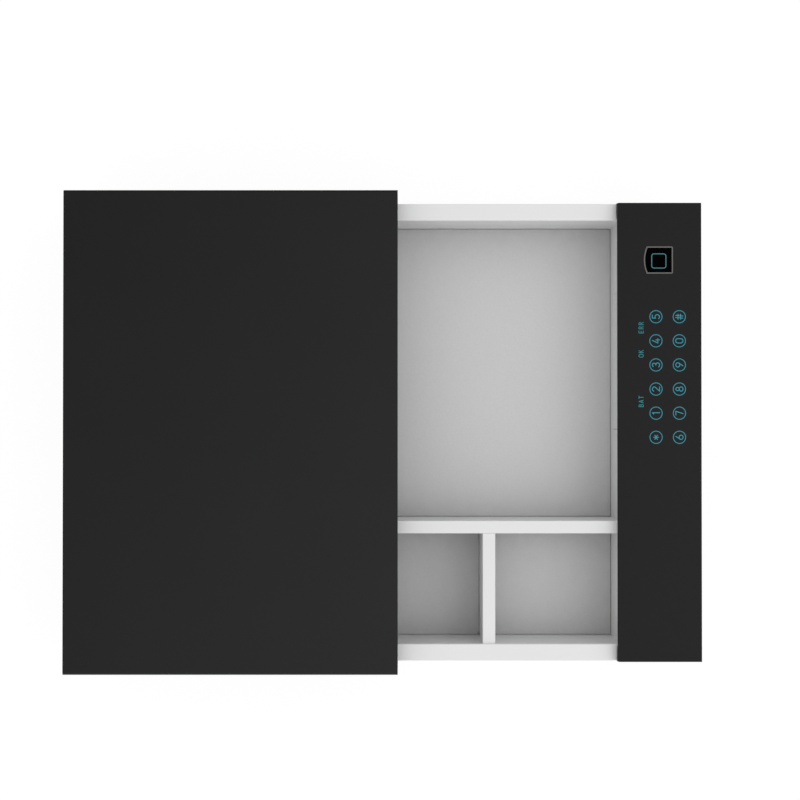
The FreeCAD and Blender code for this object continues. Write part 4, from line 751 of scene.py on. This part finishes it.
class Lettering:
    """A plain rounded line alphabet for digits and status words.

    Each sign is a list of strokes in a box 1 high about the middle line x = 0, from y = 0 to y = 1.
    """

    HALF = 0.30

    def strokes(self, sign: str) -> list[Line]:
        """Lists a sign's strokes.

        Args:
            sign: One character.

        Returns:
            Its strokes.
        """
        shapes = {
            "0": self.zero, "1": self.one, "2": self.two, "3": self.three, "4": self.four,
            "5": self.five, "6": self.six, "7": self.seven, "8": self.eight, "9": self.nine,
            "*": self.star, "#": self.gate, "A": self.letter_a, "B": self.letter_b,
            "E": self.letter_e, "K": self.letter_k, "O": self.zero, "R": self.letter_r,
            "T": self.letter_t,
        }
        return shapes[sign]()

    @staticmethod
    def line(*points: Point) -> Line:
        """Makes an open stroke through corners, in short steps.

        Args:
            points: The corners.

        Returns:
            The stroke.
        """
        corners = np.array(points, float)
        pieces = [np.linspace(first, last, 7)[:-1] for first, last in zip(corners, corners[1:])]
        return np.vstack([*pieces, corners[-1:]]), False

    def zero(self) -> list[Line]:
        """A tall ring with straight sides."""
        return [(rounded_loop(self.HALF, 0.5, self.HALF - 0.01, 8) + (0.0, 0.5), True)]

    def one(self) -> list[Line]:
        """An upright with a short flag."""
        return [self.line((0.06, 0.0), (0.06, 1.0)), self.line((0.06, 1.0), (-0.13, 0.84))]

    def two(self) -> list[Line]:
        """A hook, a diagonal and a base.

        Returns:
            Its strokes.
        """
        hook = arc((0.0, 0.74), (self.HALF, 0.26), 165, -28, 16)
        foot = np.array([(-self.HALF, 0.0)])
        diagonal = np.linspace(hook[-1], foot[0], 8)[1:]
        base = np.linspace(foot[0], (self.HALF, 0.0), 6)[1:]
        return [(np.vstack([hook, diagonal]), False), (np.vstack([foot, base]), False)]

    def three(self) -> list[Line]:
        """Two bowls that meet at the waist.

        Returns:
            Its strokes.
        """
        upper = arc((-0.01, 0.76), (0.25, 0.24), 150, -90, 16)
        lower = arc((-0.01, 0.26), (self.HALF, 0.26), 90, -150, 16)
        return [(upper, False), (lower, False)]

    def four(self) -> list[Line]:
        """A diagonal, a bar and a short upright."""
        return [self.line((0.06, 1.0), (-self.HALF, 0.24)), self.line((-self.HALF, 0.24), (0.28, 0.24)),
                self.line((0.13, 0.5), (0.13, 0.0))]

    def five(self) -> list[Line]:
        """A flag, a short upright and a bowl."""
        bowl = arc((-0.01, 0.31), (self.HALF, 0.31), 128, -145, 18)
        return [self.line((0.24, 1.0), (-0.19, 1.0)), self.line((-0.19, 1.0), tuple(bowl[0])), (bowl, False)]

    def six(self) -> list[Line]:
        """A bowl with a slanted stem.

        Returns:
            Its strokes.
        """
        bowl = arc((0.0, 0.28), (self.HALF, 0.28), 0, 360, 24)[:-1]
        touch = arc((0.0, 0.28), (self.HALF, 0.28), 152, 152, 1)[0]
        return [(bowl, True), self.line((0.12, 1.0), tuple(touch))]

    def seven(self) -> list[Line]:
        """A bar and a diagonal."""
        return [self.line((-0.26, 1.0), (0.26, 1.0)), self.line((0.26, 1.0), (-0.06, 0.0))]

    def eight(self) -> list[Line]:
        """Two rings, the upper one smaller.

        Returns:
            Its strokes.
        """
        upper = arc((0.0, 0.765), (0.235, 0.235), 0, 360, 24)[:-1]
        lower = arc((0.0, 0.265), (self.HALF, 0.265), 0, 360, 24)[:-1]
        return [(upper, True), (lower, True)]

    def nine(self) -> list[Line]:
        """A six turned half round."""
        return [((0.0, 1.0) - points, closed) for points, closed in self.six()]

    def star(self) -> list[Line]:
        """Three bars that cross at their middles.

        Returns:
            Its strokes.
        """
        reach = 0.34
        angles = [math.radians(angle) for angle in (30, 90, 150)]
        return [self.line((-reach * math.cos(angle), 0.5 - reach * math.sin(angle)),
                          (reach * math.cos(angle), 0.5 + reach * math.sin(angle))) for angle in angles]

    def gate(self) -> list[Line]:
        """Two leaning uprights and two bars.

        Returns:
            Its strokes.
        """
        uprights = [self.line((place - 0.05, 0.0), (place + 0.05, 1.0)) for place in (-0.15, 0.15)]
        bars = [self.line((-0.36, height), (0.36, height)) for height in (0.32, 0.68)]
        return uprights + bars

    def letter_a(self) -> list[Line]:
        """Two slanted legs and a bar."""
        return [self.line((-self.HALF, 0.0), (0.0, 1.0)), self.line((0.0, 1.0), (self.HALF, 0.0)),
                self.line((-0.18, 0.32), (0.18, 0.32))]

    def letter_b(self) -> list[Line]:
        """An upright with two bowls.

        Returns:
            Its strokes.
        """
        upper = np.vstack([[(-0.25, 1.0)], arc((0.0, 0.76), (0.22, 0.24), 90, -90, 12), [(-0.25, 0.52)]])
        lower = np.vstack([[(-0.25, 0.52)], arc((0.0, 0.26), (0.26, 0.26), 90, -90, 12), [(-0.25, 0.0)]])
        return [self.line((-0.25, 0.0), (-0.25, 1.0)), (upper, False), (lower, False)]

    def letter_e(self) -> list[Line]:
        """An upright with three bars.

        Returns:
            Its strokes.
        """
        bars = [self.line((-0.24, height), (reach, height))
                for height, reach in ((0.0, 0.24), (0.5, 0.18), (1.0, 0.24))]
        return [self.line((-0.24, 0.0), (-0.24, 1.0)), *bars]

    def letter_k(self) -> list[Line]:
        """An upright with two slanted arms."""
        return [self.line((-0.24, 0.0), (-0.24, 1.0)), self.line((0.26, 1.0), (-0.24, 0.4)),
                self.line((-0.06, 0.6), (0.28, 0.0))]

    def letter_r(self) -> list[Line]:
        """An upright with a bowl and a slanted leg."""
        bowl = np.vstack([[(-0.24, 1.0)], arc((0.0, 0.75), (0.25, 0.25), 90, -90, 12), [(-0.24, 0.5)]])
        return [self.line((-0.24, 0.0), (-0.24, 1.0)), (bowl, False), self.line((0.02, 0.5), (0.27, 0.0))]

    def letter_t(self) -> list[Line]:
        """An upright under a bar."""
        return [self.line((0.0, 0.0), (0.0, 1.0)), self.line((-self.HALF, 1.0), (self.HALF, 1.0))]


@dataclass(frozen=True)
class Stroke:
    """A line of ink: its middle line in the plane, its width, and whether it runs round."""

    path: np.ndarray
    width: float
    closed: bool = False


# Each stroke of a piece is a hair thicker than the one before, so that no two tops coincide where they cross
INK_FILM = 0.04 * MM
INK_STEP = 0.004 * MM
INK_SMOOTH_ANGLE = 50.0


def inked(name: str, strokes: list[Stroke], height: float, paint: str) -> None:
    """Prints strokes on a level face of the drawer as one piece of raised ink.

    Args:
        name: The piece's name.
        strokes: The lines of ink.
        height: The height of the face.
        paint: The ink.
    """
    points, faces, count = [], [], 0
    for number, stroke in enumerate(strokes):
        thickness = INK_FILM + INK_STEP * number
        lifted, quads = Ribbon(stroke.path, stroke.width, stroke.closed).surface(thickness)
        faces += [tuple(index + count for index in face) for face in quads]
        points.append(lifted + (0.0, 0.0, height))
        count += len(lifted)
    new_piece(name, np.vstack(points), faces, DRAWER, paint, INK_SMOOTH_ANGLE)
    log.info("printed %s", name)


# Sub-assemblies
@dataclass
class Keypad:
    """The printed legends of the touch panel: two rows of keys and the status words."""

    panel: str = "control_panel"
    board: str = "touch_board"
    pitch: float = 20.0 * MM
    row_gap: float = 19.4 * MM
    ring_radius: float = 5.1 * MM
    ring_line: float = 0.62 * MM
    ring_steps: int = 48
    digit_height: float = 6.7 * MM
    digit_line: float = 0.73 * MM
    word_height: float = 4.2 * MM
    word_line: float = 0.52 * MM
    word_pitch: float = 3.45 * MM
    word_rise: float = 22.0 * MM
    register: Point = (-0.35 * MM, 0.35 * MM)
    rows: tuple[str, str] = ("67890#", "*12345")
    sign_names: dict[str, str] = field(default_factory=lambda: {"*": "star", "#": "gate"})
    words: dict[str, float] = field(default_factory=lambda: {"BAT": -1.015, "OK": 0.965, "ERR": 2.04})

    def middle(self) -> Triple:
        """Finds the keys' middle from the board behind them, and the height of the panel's top.

        Returns:
            The middle's place along X and Y, and the height.
        """
        low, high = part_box(self.board)
        across = (low.x + high.x) / 2 + self.register[0]
        along = (low.y + high.y) / 2 + self.register[1]
        return across, along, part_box(self.panel)[1].z

    def sign(self, sign: str, place: Point, height: float, width: float) -> list[Stroke]:
        """Places one sign about a point.

        Args:
            sign: The character.
            place: Its middle.
            height: Its height over all.
            width: The strokes' width.

        Returns:
            Its strokes.
        """
        scale = height - width
        return [Stroke((points - (0.0, 0.5)) * scale + place, width, closed)
                for points, closed in Lettering().strokes(sign)]

    def build(self) -> None:
        """Prints every key and every word."""
        across, along, top = self.middle()
        self.print_keys(across, along, top)
        self.print_words(across, along, top)

    def print_keys(self, across: float, along: float, top: float) -> None:
        """Prints the rows of keys, each a ring about its sign.

        Args:
            across: The keys' middle along X.
            along: The keys' middle along Y.
            top: The height of the panel's top.
        """
        for row, signs in enumerate(self.rows):
            for column, sign in enumerate(signs):
                place = (across + (column - (len(signs) - 1) / 2) * self.pitch,
                         along + (row - 0.5) * self.row_gap)
                ring = arc(place, (self.ring_radius, self.ring_radius), 0, 360, self.ring_steps)[:-1]
                strokes = [Stroke(ring, self.ring_line, True)]
                strokes += self.sign(sign, place, self.digit_height, self.digit_line)
                inked("key_" + self.sign_names.get(sign, sign), strokes, top, "key_ink")

    def print_words(self, across: float, along: float, top: float) -> None:
        """Prints the status words above the keys.

        Args:
            across: The keys' middle along X.
            along: The keys' middle along Y.
            top: The height of the panel's top.
        """
        for word, shift in self.words.items():
            strokes = []
            for number, letter in enumerate(word):
                step = (number - (len(word) - 1) / 2) * self.word_pitch
                place = (across + shift * self.pitch + step, along + self.word_rise)
                strokes += self.sign(letter, place, self.word_height, self.word_line)
            inked("word_" + word.lower(), strokes, top, "label_ink")


@dataclass
class Reader:
    """The fingerprint reader's printed square on its dark window."""

    sensor: str = "fingerprint_sensor"
    half: float = 5.9 * MM
    corner: float = 1.9 * MM
    line: float = 0.70 * MM
    offset: Point = (-0.7 * MM, -0.4 * MM)

    def build(self) -> None:
        """Prints the square."""
        low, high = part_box(self.sensor)
        middle = np.array([(low.x + high.x) / 2, (low.y + high.y) / 2]) + self.offset
        square = rounded_loop(self.half, self.half, self.corner) + middle
        inked("reader_mark", [Stroke(square, self.line, True)], high.z, "reader_ink")


@dataclass
class Mats:
    """The foam mats that line the compartments, with soft edges, a faintly uneven top and painted shade along
    their edges.
    """

    nodes: tuple[str, ...] = ("main_mat", "front_small_mat", "rear_small_mat")
    edge: float = 0.6 * MM
    edge_points: int = 6
    corner: float = 1.2 * MM
    least_corner: float = 0.3 * MM
    corner_steps: int = 4
    side_steps: int = 48
    foot: float = 0.25 * MM
    spacing: float = 4.0 * MM
    middle_half: float = 0.8 * MM
    dip: float = 0.14 * MM
    dip_fade: float = 6.0 * MM
    wave: Pair = (83.0 * MM, 71.0 * MM)
    wave_start: float = 2.1
    smooth_angle: float = 60.0
    # Painted shade at the -X, -Y, +X and +Y sides, each set to the shade that falls there, and how far in it
    # reaches
    edge_shade: tuple[float, float, float, float] = (0.42, 0.28, 0.55, 0.44)
    edge_shade_reach: float = 18.0 * MM

    def build(self) -> None:
        """Makes every mat in place of its plain solid."""
        for number, node in enumerate(self.nodes):
            low, high = (np.array(corner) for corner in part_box(node))
            points, faces = self.pad(low, high, number)
            mat = new_piece("foam_" + node, points, faces, DRAWER, "grey_mat", self.smooth_angle)
            # Paints shade along the mat's edges
            self.paint_edge_shade(mat.data, low, high)
            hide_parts(node)
            log.info("laid %s", mat.name)

    def paint_edge_shade(self, mesh: bpy.types.Mesh, low: np.ndarray, high: np.ndarray) -> None:
        """Stores how much painted shade darkens each point, as an attribute.

        Each side leaves a share unshaded: one minus its painted shade times e to the minus its distance over
        the reach.
        The painted shade is one minus the product of the four shares. The sides are -X, -Y, +X and +Y.

        Args:
            mesh: The mat's mesh.
            low: The lowest corner of the mat's box.
            high: The highest corner of it.
        """
        points = np.empty(len(mesh.vertices) * 3)
        mesh.vertices.foreach_get("co", points)
        points = points.reshape(-1, 3)[:, :2]
        distances = np.concatenate([points - low[:2], high[:2] - points], axis=1)
        # The share of each point that the painted shade leaves untouched
        unshaded = np.prod(1 - np.array(self.edge_shade) * np.exp(-distances / self.edge_shade_reach), axis=1)
        attribute = mesh.attributes.new(EDGE_SHADE, "FLOAT", "POINT")
        attribute.data.foreach_set("value", (1 - unshaded).astype(np.float32))

    def pad(self, low: np.ndarray, high: np.ndarray, number: int) -> tuple[np.ndarray, Faces]:
        """Works out a mat as loops from its foot over its edge to the middle of its top.

        The edge is a quarter circle: the inset is the edge's radius times one minus the cosine of an angle,
        and the height goes by its sine. The top dips by a product of two slow waves, which fade at the edge.

        Args:
            low: The lowest corner of the mat's box.
            high: The highest corner of it.
            number: Shifts the waves, so that no two mats are alike.

        Returns:
            The points and the faces.
        """
        half = (high - low)[:2] / 2
        turn = np.linspace(0, math.pi / 2, self.edge_points)
        flat = np.arange(self.edge, half.min() - self.middle_half, self.spacing)[1:]
        insets = np.concatenate([[self.foot, 0.0], self.edge * (1 - np.cos(turn)), flat])
        heights = np.concatenate([[low[2], low[2] + self.foot],
                                  high[2] - self.edge * (1 - np.sin(turn)), np.full(len(flat), high[2])])
        loops = np.stack([framed_loop(half[0] - inset, half[1] - inset,
                                      max(self.corner - inset, self.least_corner),
                                      self.corner_steps, self.side_steps) for inset in insets])
        x, y = loops[..., 0], loops[..., 1]
        fade = np.clip((insets - self.edge) / self.dip_fade, 0.0, 1.0)[:, None]
        across = np.sin(x * math.tau / self.wave[0] + number)
        along = np.sin(y * math.tau / self.wave[1] + self.wave_start)
        z = heights[:, None] - self.dip * fade * (1 + across * along) / 2
        points = np.stack([x + (low[0] + high[0]) / 2, y + (low[1] + high[1]) / 2, z], axis=-1)
        count = loops.shape[1]
        ends = [tuple(range(count))[::-1], tuple(range((len(insets) - 1) * count, len(insets) * count))]
        return points, grid_faces(len(insets), count) + ends


@dataclass
class Studio:
    """The floor, the lights and the camera."""

    eye: Triple = (0.01067, -0.13988, 1.524)
    target: Triple = (0.02647, -0.13988, 0.130)
    lens: float = 76.1
    sensor_width: float = 36.0
    floor_half: float = 4.0
    floor_grey: float = 0.9
    floor_roughness: float = 0.9
    floor_glow: float = 1.03
    glow_share: float = 0.9
    sky: Pair = (0.85, 1.15)
    reflected_sky: Pair = (0.35, 1.5)
    seen_sky: float = 1.0
    sky_turn: Pair = (-0.30, 0.15)
    bright_side: Triple = (-0.5, -0.86, 0.0)
    centre: Triple = (0.0, -0.15, 0.1)
    lamp_distance: float = 1.8
    lamp_height_angle: float = 58.0
    lamp_side_angle: float = 258.0
    lamp_size: float = 1.0
    lamp_power: float = 3.0

    def build(self) -> None:
        """Builds everything around the safe."""
        self.lay_floor()
        self.spread_sky()
        self.hang_lamp()
        self.aim_camera()

    def lay_floor(self) -> None:
        """Lays a pale floor, white to the camera and to polished pieces, with the safe's shadow on it."""
        mesh = bpy.data.meshes.new("floor")
        corners = np.array([(-1, -1, 0), (1, -1, 0), (1, 1, 0), (-1, 1, 0)]) * self.floor_half
        mesh.from_pydata(corners.tolist(), [], [(0, 1, 2, 3)])
        floor = bpy.data.objects.new("floor", mesh)
        bpy.context.scene.collection.objects.link(floor)
        material = bpy.data.materials.new("floor_white")
        material.use_nodes = True
        nodes, links = material.node_tree.nodes, material.node_tree.links
        paint = nodes["Principled BSDF"]
        paint.inputs["Base Color"].default_value = (self.floor_grey, self.floor_grey, self.floor_grey, 1.0)
        paint.inputs["Roughness"].default_value = self.floor_roughness
        paint.inputs["Specular IOR Level"].default_value = 0.0
        glow = nodes.new("ShaderNodeEmission")
        glow.inputs["Strength"].default_value = self.floor_glow
        ray = nodes.new("ShaderNodeLightPath")
        seen = nodes.new("ShaderNodeMath")
        seen.operation = "MAXIMUM"
        links.new(ray.outputs["Is Camera Ray"], seen.inputs[0])
        links.new(ray.outputs["Is Glossy Ray"], seen.inputs[1])
        share = nodes.new("ShaderNodeMath")
        share.operation = "MULTIPLY"
        share.inputs[1].default_value = self.glow_share
        links.new(seen.outputs[0], share.inputs[0])
        mix = nodes.new("ShaderNodeMixShader")
        links.new(share.outputs[0], mix.inputs[0])
        links.new(paint.outputs[0], mix.inputs[1])
        links.new(glow.outputs[0], mix.inputs[2])
        links.new(mix.outputs[0], nodes["Material Output"].inputs["Surface"])
        mesh.materials.append(material)

    def spread_sky(self) -> None:
        """Lights the safe with a sky that is brighter on its front left side.

        The brightness goes by how far a direction points to that side. Polished pieces see a steeper change,
        and the camera sees plain white.
        """
        world = bpy.data.worlds.new("sky")
        world.use_nodes = True
        bpy.context.scene.world = world
        nodes, links = world.node_tree.nodes, world.node_tree.links
        back = nodes["Background"]
        back.inputs["Color"].default_value = (1.0, 1.0, 1.0, 1.0)
        towards = nodes.new("ShaderNodeVectorMath")
        towards.operation = "DOT_PRODUCT"
        towards.inputs[1].default_value = self.bright_side
        links.new(nodes.new("ShaderNodeTexCoord").outputs["Generated"], towards.inputs[0])
        levels = []
        for low, high in (self.sky, self.reflected_sky):
            level = nodes.new("ShaderNodeMapRange")
            level.interpolation_type = "SMOOTHSTEP"
            level.inputs["From Min"].default_value = self.sky_turn[0]
            level.inputs["From Max"].default_value = self.sky_turn[1]
            level.inputs["To Min"].default_value = low
            level.inputs["To Max"].default_value = high
            links.new(towards.outputs["Value"], level.inputs["Value"])
            levels.append(level.outputs["Result"])
        ray = nodes.new("ShaderNodeLightPath")
        strength = levels[0]
        choices = {"Is Glossy Ray": levels[1], "Is Transmission Ray": self.seen_sky,
                   "Is Camera Ray": self.seen_sky}
        for choice, level in choices.items():
            chosen = nodes.new("ShaderNodeMix")
            links.new(ray.outputs[choice], chosen.inputs["Factor"])
            links.new(strength, chosen.inputs[2])
            if isinstance(level, float):
                chosen.inputs[3].default_value = level
            else:
                links.new(level, chosen.inputs[3])
            strength = chosen.outputs[0]
        links.new(strength, back.inputs["Strength"])

    def hang_lamp(self) -> None:
        """Hangs one soft lamp over the safe's front left side, turned to its middle."""
        data = bpy.data.lights.new("softbox", "AREA")
        data.size = self.lamp_size
        data.energy = self.lamp_power
        lamp = bpy.data.objects.new("softbox", data)
        height = math.radians(self.lamp_height_angle)
        side = math.radians(self.lamp_side_angle)
        level = math.cos(height)
        away = Vector((level * math.cos(side), level * math.sin(side), math.sin(height)))
        lamp.location = Vector(self.centre) + away * self.lamp_distance
        lamp.rotation_euler = away.to_track_quat("Z", "Y").to_euler()
        bpy.context.scene.collection.objects.link(lamp)

    def aim_camera(self) -> None:
        """Looks straight down on the safe, tilted by a hair, with the safe's front to the picture's right."""
        data = bpy.data.cameras.new("camera")
        data.lens = self.lens
        data.sensor_width = self.sensor_width
        camera = bpy.data.objects.new("camera", data)
        eye, target = np.array(self.eye), np.array(self.target)
        back = (eye - target) / np.linalg.norm(eye - target)
        right = np.cross((1.0, 0.0, 0.0), back)
        right /= np.linalg.norm(right)
        turned = np.eye(4)
        turned[:3] = np.stack([right, np.cross(back, right), back, eye], axis=1)
        camera.matrix_world = Matrix(turned.tolist())
        bpy.context.scene.collection.objects.link(camera)
        bpy.context.scene.camera = camera


def main() -> None:
    """Builds the sub-assemblies in order and reports them."""
    logging.basicConfig(level=logging.INFO, format="%(name)s: %(message)s")
    for node in sorted(frame["nodes"]):
        finish_node(node)
        log.info("finished %s", node)
    Mats().build()
    Keypad().build()
    Reader().build()
    Studio().build()
    bpy.context.scene.view_settings.view_transform = "Standard"


if __name__ == "__main__":
    main()
